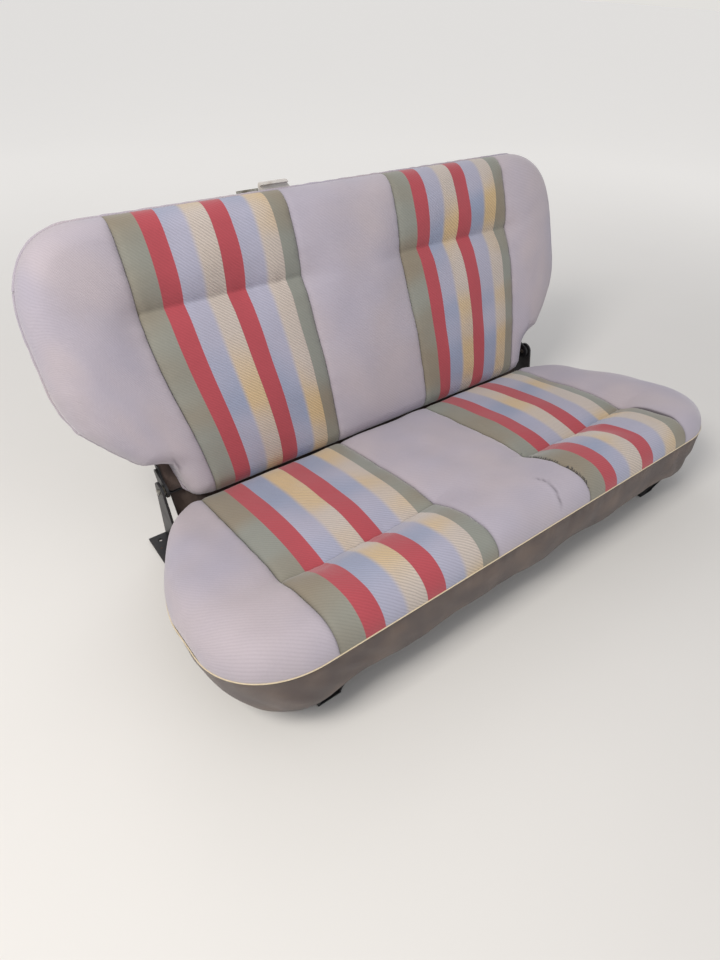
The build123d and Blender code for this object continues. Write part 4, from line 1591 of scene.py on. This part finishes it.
@dataclass
class Skirt:
    """Dark cloth that hangs from the welt and tucks in under the cushion.

    A point at share t down the wall lies between the rim and the hem, moved outwards by
    belly * sin(pi t), by folds that grow with t and by gathers that die away below the welt. The
    folds are fuller at the front corners. The hem hangs below the underside and turns in.
    """

    pad: CushionPad
    top: float = -0.0463
    under: float = -0.0880
    slope: float = -0.0817
    draw_side: float = 0.030
    draw_front: float = 0.045
    rear_shift: float = 0.002
    belly: float = 0.004
    fold: float = 0.0034
    fold_size: float = 0.062
    fold_slant: tuple[float, float] = (0.07, 0.02)
    fold_shares: tuple[float, float, float] = (0.35, 0.3, 0.45)
    fold_turn: float = 0.9
    wave_size: float = 0.11
    wave_share: float = 0.25
    gather: float = 0.0009
    gather_size: float = 0.017
    gather_reach: float = 0.25
    gather_start: float = 0.08
    corner: tuple[float, float] = (0.55, 0.09)
    front: tuple[float, float] = (0.2, 0.45)
    hang: float = 0.0075
    hang_size: float = 0.16
    hang_shares: tuple[float, float] = (0.35, 0.5)
    hem: float = 0.0045
    hem_drop: float = 0.35
    hem_depths: tuple[float, float] = (1.9, 2.0)
    seed: int = 21
    columns: int = 210
    rows: int = 84
    levels: int = 26
    row_step: float = 0.0035
    last_step: float = 0.006
    floor_share: tuple[float, float, float] = (0.982, 0.975, 1.0)
    floor_shift: tuple[float, float, float] = (0.0, 0.006, 0.0)

    def plan(self) -> tuple[Array, Array]:
        """Plan points from side to side and from rear to front, closer together near the rim.

        Returns:
            x and v, columns across and rows along.
        """
        across = graded(self.columns, first=0.03, last=0.03, zone=0.08) * 2 - 1
        along = graded(self.rows, first=0.05, last=0.05, zone=0.12)
        x = (across * self.pad.half_width)[:, None] + 0 * along[None]
        low, high = self.pad.near_edge(np.abs(x)), self.pad.far_edge(np.abs(x))
        return x, low + (high - low) * along[None]

    def wall(self, rim: Array, foot: Array, run: Array) -> Array:
        """The wall's rows of points, from below the rim to where the hem meets the underside.

        Args:
            rim, foot: The upper and the lower end of the wall once round.
            run: The rim's length from its start to each point.

        Returns:
            Array (rows, columns, 3): the folded wall, then the hem turned in and up.
        """
        out = np.column_stack([outwards(rim[:, :2], 3), 0 * run])
        t = np.linspace(0, 1, self.levels)[:, None]
        place, width = self.corner
        corner = np.exp(-(((np.abs(rim[:, 0]) - place) / width) ** 2)) * ease(rim[:, 1], *self.front)
        waves = soft_noise(run, 0 * run, self.wave_size, self.seed, terms=9)
        drift, lean = self.fold_slant
        slanted = soft_noise(run + drift * t, 0 * run + lean * t, self.fold_size, self.seed + 1, terms=9)
        by_wave, by_slant, by_corner = self.fold_shares
        folds = by_wave * waves + slanted * (by_slant + by_corner * corner)
        folds = folds * np.sin(pi * t * self.fold_turn)
        gathers = soft_noise(run, 0 * run, self.gather_size, self.seed + 2, terms=9)
        gathers = gathers * np.exp(-t / self.gather_reach) * ease(t, 0.0, self.gather_start)
        push = self.belly * np.sin(pi * t) * (1 + self.wave_share * waves)
        push = push + self.fold * t * folds + self.gather * gathers
        uneven = soft_noise(run, 0 * run, self.hang_size, self.seed + 3, terms=7)
        by_uneven, by_corner = self.hang_shares
        hang = self.hang * (1 + by_uneven * uneven + by_corner * corner)
        low = foot - np.stack([0 * run, 0 * run, hang], -1)
        wall = rim * (1 - t[..., None]) + low * t[..., None] + push[..., None] * out
        turned = low + self.hem * (np.array([0, 0, -self.hem_drop]) - out)
        inner, last = (depth * self.hem * out for depth in self.hem_depths)
        return np.concatenate([wall[1:], [turned, (low + foot) / 2 - inner, foot - last]])

    def build(self, material: bpy.types.Material) -> None:
        """The closed skirt with its underside.

        Args:
            material: The dark cloth.
        """
        x, v = self.plan()
        world = self.pad.place.world
        shell = Shell()
        top = np.stack([x, v, np.full_like(x, self.top)], -1)
        back = v * (1 - self.draw_front) + self.rear_shift
        bottom = np.stack([x * (1 - self.draw_side), back, self.under + self.slope * back], -1)
        rim, foot = boundary(top), boundary(bottom)
        run = arc_length(rim)
        upper = shell.add_points(world(top))
        middle = shell.add_points(world(self.wall(rim, foot, run)))
        lower = shell.add_points(world(bottom * np.array(self.floor_share) + np.array(self.floor_shift)))
        down = np.arange(len(middle) + 2)[:, None] * self.row_step
        around = np.append(run, run[-1] + self.last_step)[None]
        walls = np.stack(np.broadcast_arrays(around, down), -1)
        shell.enclose(upper, lower, [middle], np.stack([x, v], -1), walls)
        piece = shell.make("cushion_skirt", material)
        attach(piece, "cushion")
        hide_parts("cushion_base_pad")


@dataclass
class Trims:
    """Welt, hog rings and loose threads of the cushion."""

    pad: CushionPad
    welt_radius: float = 0.0012
    welt_stand: float = 0.0004
    welt_level: float = -0.0457
    welt_points: int = 760
    ring_radius: float = 0.0112
    ring_wire: float = 0.0011
    ring_inset: float = 0.0065
    ring_level: float = 0.0815
    ring_stretch: float = 1.15
    ring_lean: float = 0.0016
    ring_turn: float = 3.0
    ring_points: int = 28
    ring_places: tuple[float, ...] = (-0.50, -0.39, -0.27, -0.14, 0.0, 0.13, 0.28, 0.38, 0.51)
    frays: tuple[tuple[float, float, int], ...] = ((0.325, 0.425, 46), (0.445, 0.503, 30))
    thread_length: tuple[float, float] = (0.003, 0.008)
    thread_radius: float = 0.00042
    thread_root: float = 0.1265
    thread_gap: float = 0.0004
    thread_stray: float = 0.0005
    thread_lean: float = 0.0022
    thread_curl: float = 0.0008
    thread_turn: float = 4.0
    thread_lift: tuple[float, float] = (0.0007, 0.0016)
    thread_rise: tuple[float, float] = (0.1, 1.0)
    thread_points: int = 6
    seed: int = 5

    def welt(self, material: bpy.types.Material) -> None:
        """Thin light cord along the lower edge of the cover.

        Args:
            material: Its finish.
        """
        ring = resampled(self.pad.outline(count=400), self.welt_points)
        plan = ring + outwards(ring, reach=2) * self.welt_stand
        path = self.pad.place.world(np.column_stack([plan, np.full(len(plan), self.welt_level)]))
        piece = tube_shell(path, self.welt_radius, sides=8, closed=True).make("cushion_welt", material)
        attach(piece, "cushion")

    def hog_rings(self, material: bpy.types.Material) -> None:
        """Wire rings that hold the skirt's hem to the front tube.

        Args:
            material: Their finish.
        """
        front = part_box("cushion_tube_frame")[0][1]
        turn = np.linspace(0, 2 * pi, self.ring_points, endpoint=False)
        shell = Shell()
        for index, place in enumerate(self.ring_places):
            y = front + self.ring_inset + self.ring_radius * np.cos(turn)
            z = self.ring_level + self.ring_stretch * self.ring_radius * np.sin(turn)
            lean = self.ring_lean * np.sin(self.ring_turn * index) * np.cos(turn)
            path = np.stack([place + lean, y, z], -1)
            shell.extend(tube_shell(path, self.ring_wire, sides=8, closed=True))
        piece = shell.make("skirt_hog_rings", material)
        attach(piece, "cushion")

    def threads(self, material: bpy.types.Material) -> None:
        """Dark overlock threads that stand out of the worn seam on the left of the centre panel.

        Args:
            material: Their finish.
        """
        draw = np.random.default_rng(self.seed)
        panel = Panel("", "", CENTRE_SEAM, OUTER_SEAM, 1, tucked=True)
        low, rise = self.thread_lift
        run = np.linspace(0, 1, self.thread_points)
        shell = Shell()
        for start, end, count in self.frays:
            for place in np.linspace(start, end, count):
                x = self.thread_root + run * draw.uniform(*self.thread_length)
                lean = draw.normal(0.0, self.thread_lean)
                v = place + draw.normal(0, self.thread_stray) + lean * run
                v = v + self.thread_curl * np.sin(run * self.thread_turn)
                face, _ = self.pad.face(panel, np.maximum(x, CENTRE_SEAM + self.thread_gap), v)
                face[:, 0] = x
                face[:, 2] += low + rise * run * draw.uniform(*self.thread_rise)
                path = self.pad.place.world(face)
                shell.extend(tube_shell(path, self.thread_radius, sides=5, closed=False))
        piece = shell.make("worn_seam_threads", material)
        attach(piece, "cushion")

    def build(self) -> None:
        """All the trims."""
        cord = Fibre("welt_cord", srgb(206, 190, 158), srgb(226, 214, 190), 0.0008, 0.0003)
        wire = Metal("ring_wire", srgb(176, 172, 160), srgb(120, 112, 98), 0.36)
        dark = Fibre("dark_thread", srgb(40, 38, 44), srgb(66, 62, 66), 0.0008, 0.0002)
        self.welt(cord.board().material)
        self.hog_rings(wire.board().material)
        self.threads(dark.board().material)


@dataclass
class Backing:
    """The backrest's rear: dark cloth over the foam, hem, bight strip and the carpet's edge."""

    pad: BackrestPad
    widths: tuple[tuple[float, float], ...] = (
        (-0.0152, 0.505),
        (-0.0100, 0.5110),
        (-0.0040, 0.5132),
        (0.0400, 0.5132),
        (0.0560, 0.5185),
        (0.1250, 0.5735),
        (0.1450, 0.5830),
        (0.1650, 0.5852),
        (0.4172, 0.5852),
    )
    top_radius: float = 0.070
    front: float = -0.0148
    rear: float = -0.0225
    rim_drop: float = 0.004
    rim_reach: float = 0.010
    rim_step: float = 0.06
    quilt: float = 0.0002
    quilt_size: float = 0.05
    wall_step: float = 0.008
    cover_columns: int = 120
    cover_rows: int = 70
    strip_half_width: float = 0.508
    strip_top: float = -0.012
    strip_foot: float = -0.070
    strip_place: float = -0.026
    strip_hem: float = 0.007
    strip_columns: int = 300
    strip_rows: int = 26
    wave: float = 0.0028
    wave_size: float = 0.09
    wave_power: float = 1.3
    sag: float = 0.002
    sag_size: float = 0.2
    hem_radius: float = 0.0023
    hem_start: tuple[float, float] = (0.86, 0.93)
    hem_rows: int = 7
    half_thick: tuple[float, float] = (0.0009, 0.0014)
    binding_inset: float = 0.0098
    binding_level: float = -0.0372
    binding_rows: int = 260
    binding_close: float = 0.0001
    binding_radius: tuple[float, float] = (0.0021, 0.00025)
    roll_radius: tuple[float, float] = (0.0031, 0.0003)
    roll_step: float = 0.004
    roll_size: float = 0.03
    roll_rise: float = 0.0028
    ring_points: int = 900
    seed: int = 31

    def world(self, *axes: Array) -> Array:
        """Points from their x, v and w, which may be of any shapes that broadcast."""
        return self.pad.place.world(np.stack(np.broadcast_arrays(*axes), -1))

    def half_width(self, v: Array) -> Array:
        """Half the width at v: straight bits below, a circle's quarter at the top corner.

        Args:
            v: Place along the backrest.

        Returns:
            The half width.
        """
        places, widths = np.array(self.widths).T
        over = np.clip(v - places[-1], 0, self.top_radius)
        return np.interp(v, places, widths) - self.top_radius + np.sqrt(self.top_radius**2 - over**2)

    def cover(self, material: bpy.types.Material) -> None:
        """Closed quilted cloth with a rolled rim: front - roll * rim_drop.

        Args:
            material: Its finish.
        """
        low, high = self.widths[0][0], self.widths[-1][0] + self.top_radius
        across = graded(self.cover_columns, self.rim_step, self.rim_step) * 2 - 1
        along = graded(self.cover_rows, self.rim_step, self.rim_step)
        v = (low + (high - low) * along)[None] + 0 * across[:, None]
        x = across[:, None] * self.half_width(v)
        rim = np.minimum(np.minimum(self.half_width(v) - np.abs(x), v - low), high - v)
        quilt = self.quilt * (1 + soft_noise(x, v, self.quilt_size, self.seed))
        w = self.front - self.rim_drop * quarter_roll(rim, self.rim_reach) - quilt
        shell = Shell()
        front = shell.add_points(self.world(x, v, w))
        rear = shell.add_points(self.world(x, v, self.rear))
        run = np.arange(len(boundary(front)) + 1)[None] * self.wall_step
        walls = np.stack(np.broadcast_arrays(run, np.array([[0.0], [self.wall_step]])), -1)
        shell.enclose(front, rear, [], np.stack([x, v], -1), walls)
        piece = shell.make("backrest_backing_cloth", material)
        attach(piece, "backrest")
        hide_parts("backrest_foam_core")

    def strip(self, material: bpy.types.Material) -> None:
        """Hanging strip with a rolled hem: a thin loop in v and w carried across the car.

        Args:
            material: Its finish.
        """
        x = np.linspace(-self.strip_half_width, self.strip_half_width, self.strip_columns)
        down = np.linspace(0, 1, self.strip_rows)
        hem = np.linspace(0, pi, self.hem_rows + 2)[1:-1]
        thin, more = self.half_thick
        thick = thin + more * ease(down, *self.hem_start)
        face = self.strip_top + (self.strip_foot - self.strip_top) * down
        v = np.concatenate([face, self.strip_foot - self.hem_radius * np.sin(hem), face[::-1]])
        w = np.concatenate([thick, self.hem_radius * np.cos(hem), -thick[::-1]])
        fall = np.concatenate([down, np.ones(len(hem)), down[::-1]])
        wave = soft_noise(x, 0 * x, self.wave_size, self.seed + 2, terms=9)[:, None]
        wave = wave * fall**self.wave_power * self.wave
        sag = 1 + soft_noise(x, 0 * x, self.sag_size, self.seed + 3, terms=7)[:, None]
        sag = -self.sag * fall * sag
        grid = self.world(x[:, None], v + sag, self.strip_place + w + wave)
        middle = grid.mean(1, keepdims=True)
        grid = np.concatenate([0 * grid[:1] + middle[:1], grid, 0 * grid[-1:] + middle[-1:]])
        shell = Shell()
        numbers = wrapped(shell.add_points(grid))
        along = np.concatenate([v, v[:1]])
        across = np.concatenate([x[:1], x, x[-1:]])
        shell.add_faces(numbers, np.stack(np.broadcast_arrays(across[:, None], along[None]), -1))
        piece = shell.make("backrest_bight_strip", material)
        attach(piece, "backrest")

    def binding(self, material: bpy.types.Material) -> None:
        """Overlocked edge round the rear carpet.

        Args:
            material: Its finish.
        """
        inset = self.binding_inset
        low, high = self.widths[0][0] + inset, self.widths[-1][0] + self.top_radius - inset
        rise = np.linspace(low, high + self.binding_close, self.binding_rows)
        side = np.stack([self.half_width(rise) - inset, rise], -1)
        plan = resampled(np.concatenate([side, side[::-1] * np.array([-1, 1])]), self.ring_points)
        path = self.world(*plan.T, self.binding_level)
        middle, bead = self.binding_radius
        beads = middle + bead * np.cos(np.arange(len(path)) * pi)
        piece = tube_shell(path, beads, sides=8, closed=True).make("carpet_edge_binding", material)
        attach(piece, "backrest")

    def hem_roll(self, material: bpy.types.Material) -> None:
        """Rolled hem where the covers turn round the backrest's rear edge.

        Args:
            material: Its finish.
        """
        x, v = resampled(self.pad.outline(count=300), self.ring_points).T
        path = self.world(self.pad.bent(x, v), v, self.pad.floor + self.roll_rise)
        middle, swell = self.roll_radius
        uneven = soft_noise(np.arange(len(x)) * self.roll_step, 0 * x, self.roll_size, self.seed + 4)
        radius = middle + swell * uneven
        piece = tube_shell(path, radius, sides=10, closed=True).make("backrest_hem_roll", material)
        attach(piece, "backrest")

    def build(self, dark: bpy.types.Material, plain: bpy.types.Material) -> None:
        """All four pieces.

        Args:
            dark, plain: The skirt's cloth and the covers' plain cloth.
        """
        self.cover(dark)
        self.hem_roll(plain)
        self.strip(dark)
        thread = Fibre("binding_thread", srgb(38, 38, 40), srgb(70, 68, 68), 0.0009, 0.0004)
        self.binding(thread.board().material)


@dataclass(frozen=True)
class Underframe:
    """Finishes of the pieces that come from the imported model."""

    finishes: tuple[tuple[tuple[str, ...], Fibre | Metal | Moulding | Paint], ...] = (
        (("carpet",), Fibre("carpet_felt", srgb(62, 60, 62), srgb(108, 104, 102))),
        (("foot",), Moulding("black_rubber", srgb(36, 36, 37), srgb(66, 63, 60), 0.72)),
        (("springs",), Metal("spring_wire", srgb(120, 114, 104), srgb(78, 64, 50), 0.45)),
        (("handle",), Moulding("grey_plastic", srgb(208, 204, 198), srgb(178, 170, 160), 0.48)),
        (("latch", "catch", "pin"), Metal("zinc_steel", srgb(186, 184, 176), srgb(132, 126, 112))),
        (("",), Paint()),
    )

    def dress(self) -> None:
        """Gives every node in view the first finish that has a word of its name."""
        rules = [(words, finish.board().material) for words, finish in self.finishes]
        for name, node in frame["nodes"].items():
            if node.hide_render:
                continue
            finish = next(material for words, material in rules if any(word in name for word in words))
            node.data.materials.clear()
            node.data.materials.append(finish)
            LOG.info("%s: %s", name, finish.name)


@dataclass(frozen=True)
class Studio:
    """Pale floor, soft lamps and a camera at the photograph's angle."""

    eye: Point = (-0.7604, -0.5486, 0.9951)
    azimuth: float = radians(41.323)
    dip: float = radians(39.925)
    roll: float = radians(3.854)
    focal: float = 625.8
    frame_width: float = 720.0
    sensor: float = 36.0
    shift: tuple[float, float] = (-0.074, 0.0)
    floor_colour: Colour = srgb(226, 224, 220)
    floor_rings: tuple[float, ...] = (0.0, 1.0, 3.0, 9.0, 30.0)
    floor_spokes: int = 96
    floor_level: float = -0.0005
    mottle: float = 0.03
    mottle_size: float = 0.35
    far_glow: float = 0.52
    glow_range: tuple[float, float] = (0.7, 4.0)
    fill_light: float = 0.52
    fill_colour: Colour = srgb(240, 240, 244)
    aim: Point = (0.0, 0.2, 0.3)
    lamps: tuple[tuple[str, Point, float, float, Colour], ...] = (
        ("key", (-1.7, -0.2, 2.2), 0.9, 44, (1.0, 0.96, 0.91)),
        ("fill", (0.9, -2.3, 1.4), 2.0, 11, (0.93, 0.96, 1.0)),
        ("rear", (0.9, 2.2, 2.0), 1.6, 10, (1.0, 1.0, 1.0)),
    )

    def camera(self) -> None:
        """Sets the camera: forward from azimuth and dip, then rolled about the view."""
        level = cos(self.dip)
        forward = Vector((sin(self.azimuth) * level, cos(self.azimuth) * level, -sin(self.dip)))
        right = forward.cross(Vector(UP)).normalized()
        up = right.cross(forward)
        turned = right * cos(self.roll) + up * sin(self.roll)
        upright = up * cos(self.roll) - right * sin(self.roll)
        data = bpy.data.cameras.new("camera")
        data.sensor_fit = "HORIZONTAL"
        data.sensor_width = self.sensor
        data.lens = self.focal / self.frame_width * self.sensor
        data.shift_x, data.shift_y = self.shift
        data.clip_start = 0.01
        camera = bpy.data.objects.new("camera", data)
        turn = Matrix((turned, upright, -forward)).transposed()
        camera.matrix_world = Matrix.Translation(self.eye) @ turn.to_4x4()
        bpy.context.scene.collection.objects.link(camera)
        bpy.context.scene.camera = camera

    def lamp(self, name: str, place: Point, size: float, power: float, tint: Colour) -> None:
        """A square soft lamp that faces the bench's middle.

        Args:
            name: Its name.
            place: Where it is.
            size: Side of the square in metres.
            power: Power in watts.
            tint: Colour of the light.
        """
        data = bpy.data.lights.new(name, "AREA")
        data.size = size
        data.energy = power
        data.color = tint
        lamp = bpy.data.objects.new(name, data)
        lamp.location = place
        lamp.rotation_euler = (Vector(self.aim) - Vector(place)).to_track_quat("-Z", "Y").to_euler()
        bpy.context.scene.collection.objects.link(lamp)

    def floor(self) -> None:
        """A wide disc whose rim is far outside every view."""
        turn = np.linspace(0, 2 * pi, self.floor_spokes + 1)
        reach = np.array(self.floor_rings)
        x, y = reach[:, None] * np.cos(turn), reach[:, None] * np.sin(turn)
        points = np.stack([x, y, np.full_like(x, self.floor_level)], -1)
        shell = Shell()
        shell.add_faces(shell.add_points(points), points[..., :2])
        board = Board("floor")
        mottle = board.noise(board.place(), self.mottle_size, detail=3.0)
        level = 1 - self.mottle / 2 + mottle * self.mottle
        board.set(Base_Color=board.shade(self.floor_colour, level), Roughness=0.75)
        distance = board.wire("ShaderNodeVectorMath", {"operation": "LENGTH"}, {0: board.place()}, 1)
        far = distance.ramp(*self.glow_range)
        board.set(Specular_IOR_Level=0.2, Emission_Strength=1.0)
        board.set(Emission_Color=board.shade(self.floor_colour, far * self.far_glow))
        piece = shell.make("floor", board.material)
        if piece.data.polygons[-1].normal.z < 0:
            piece.data.flip_normals()

    def sky(self) -> None:
        """A plain pale world that fills the shadows."""
        world = bpy.data.worlds.new("studio")
        world.use_nodes = True
        nodes, links = world.node_tree.nodes, world.node_tree.links
        light = nodes["Background"]
        light.inputs["Color"].default_value = (*self.fill_colour, 1)
        light.inputs["Strength"].default_value = self.fill_light
        seen = nodes.new("ShaderNodeBackground")
        seen.inputs["Color"].default_value = (*self.floor_colour, 1)
        choice = nodes.new("ShaderNodeMixShader")
        path = nodes.new("ShaderNodeLightPath")
        links.new(path.outputs["Is Camera Ray"], choice.inputs[0])
        links.new(light.outputs[0], choice.inputs[1])
        links.new(seen.outputs[0], choice.inputs[2])
        links.new(choice.outputs[0], nodes["World Output"].inputs[0])
        bpy.context.scene.world = world

    def build(self) -> None:
        """Floor, world, lamps and camera."""
        self.floor()
        self.sky()
        for lamp in self.lamps:
            self.lamp(*lamp)
        self.camera()
        bpy.context.scene.view_settings.view_transform = "Standard"


def corners(box: tuple[Vector, Vector]) -> list[list[float]]:
    """A box as plain lists."""
    return [list(map(float, point)) for point in box]


def main() -> None:
    """Builds the covers, trims and finishes in order, then the studio."""
    logging.basicConfig(level=logging.INFO, format="%(message)s")
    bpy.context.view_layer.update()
    pads = {"cushion": CushionPad(), "backrest": BackrestPad()}
    plain = Upholstery().build(pads)
    dark = SkirtCloth().board().material
    Skirt(pads["cushion"]).build(dark)
    Backing(pads["backrest"]).build(dark, plain)
    Trims(pads["cushion"]).build()
    Underframe().dress()
    Studio().build()


if __name__ == "__main__":
    main()
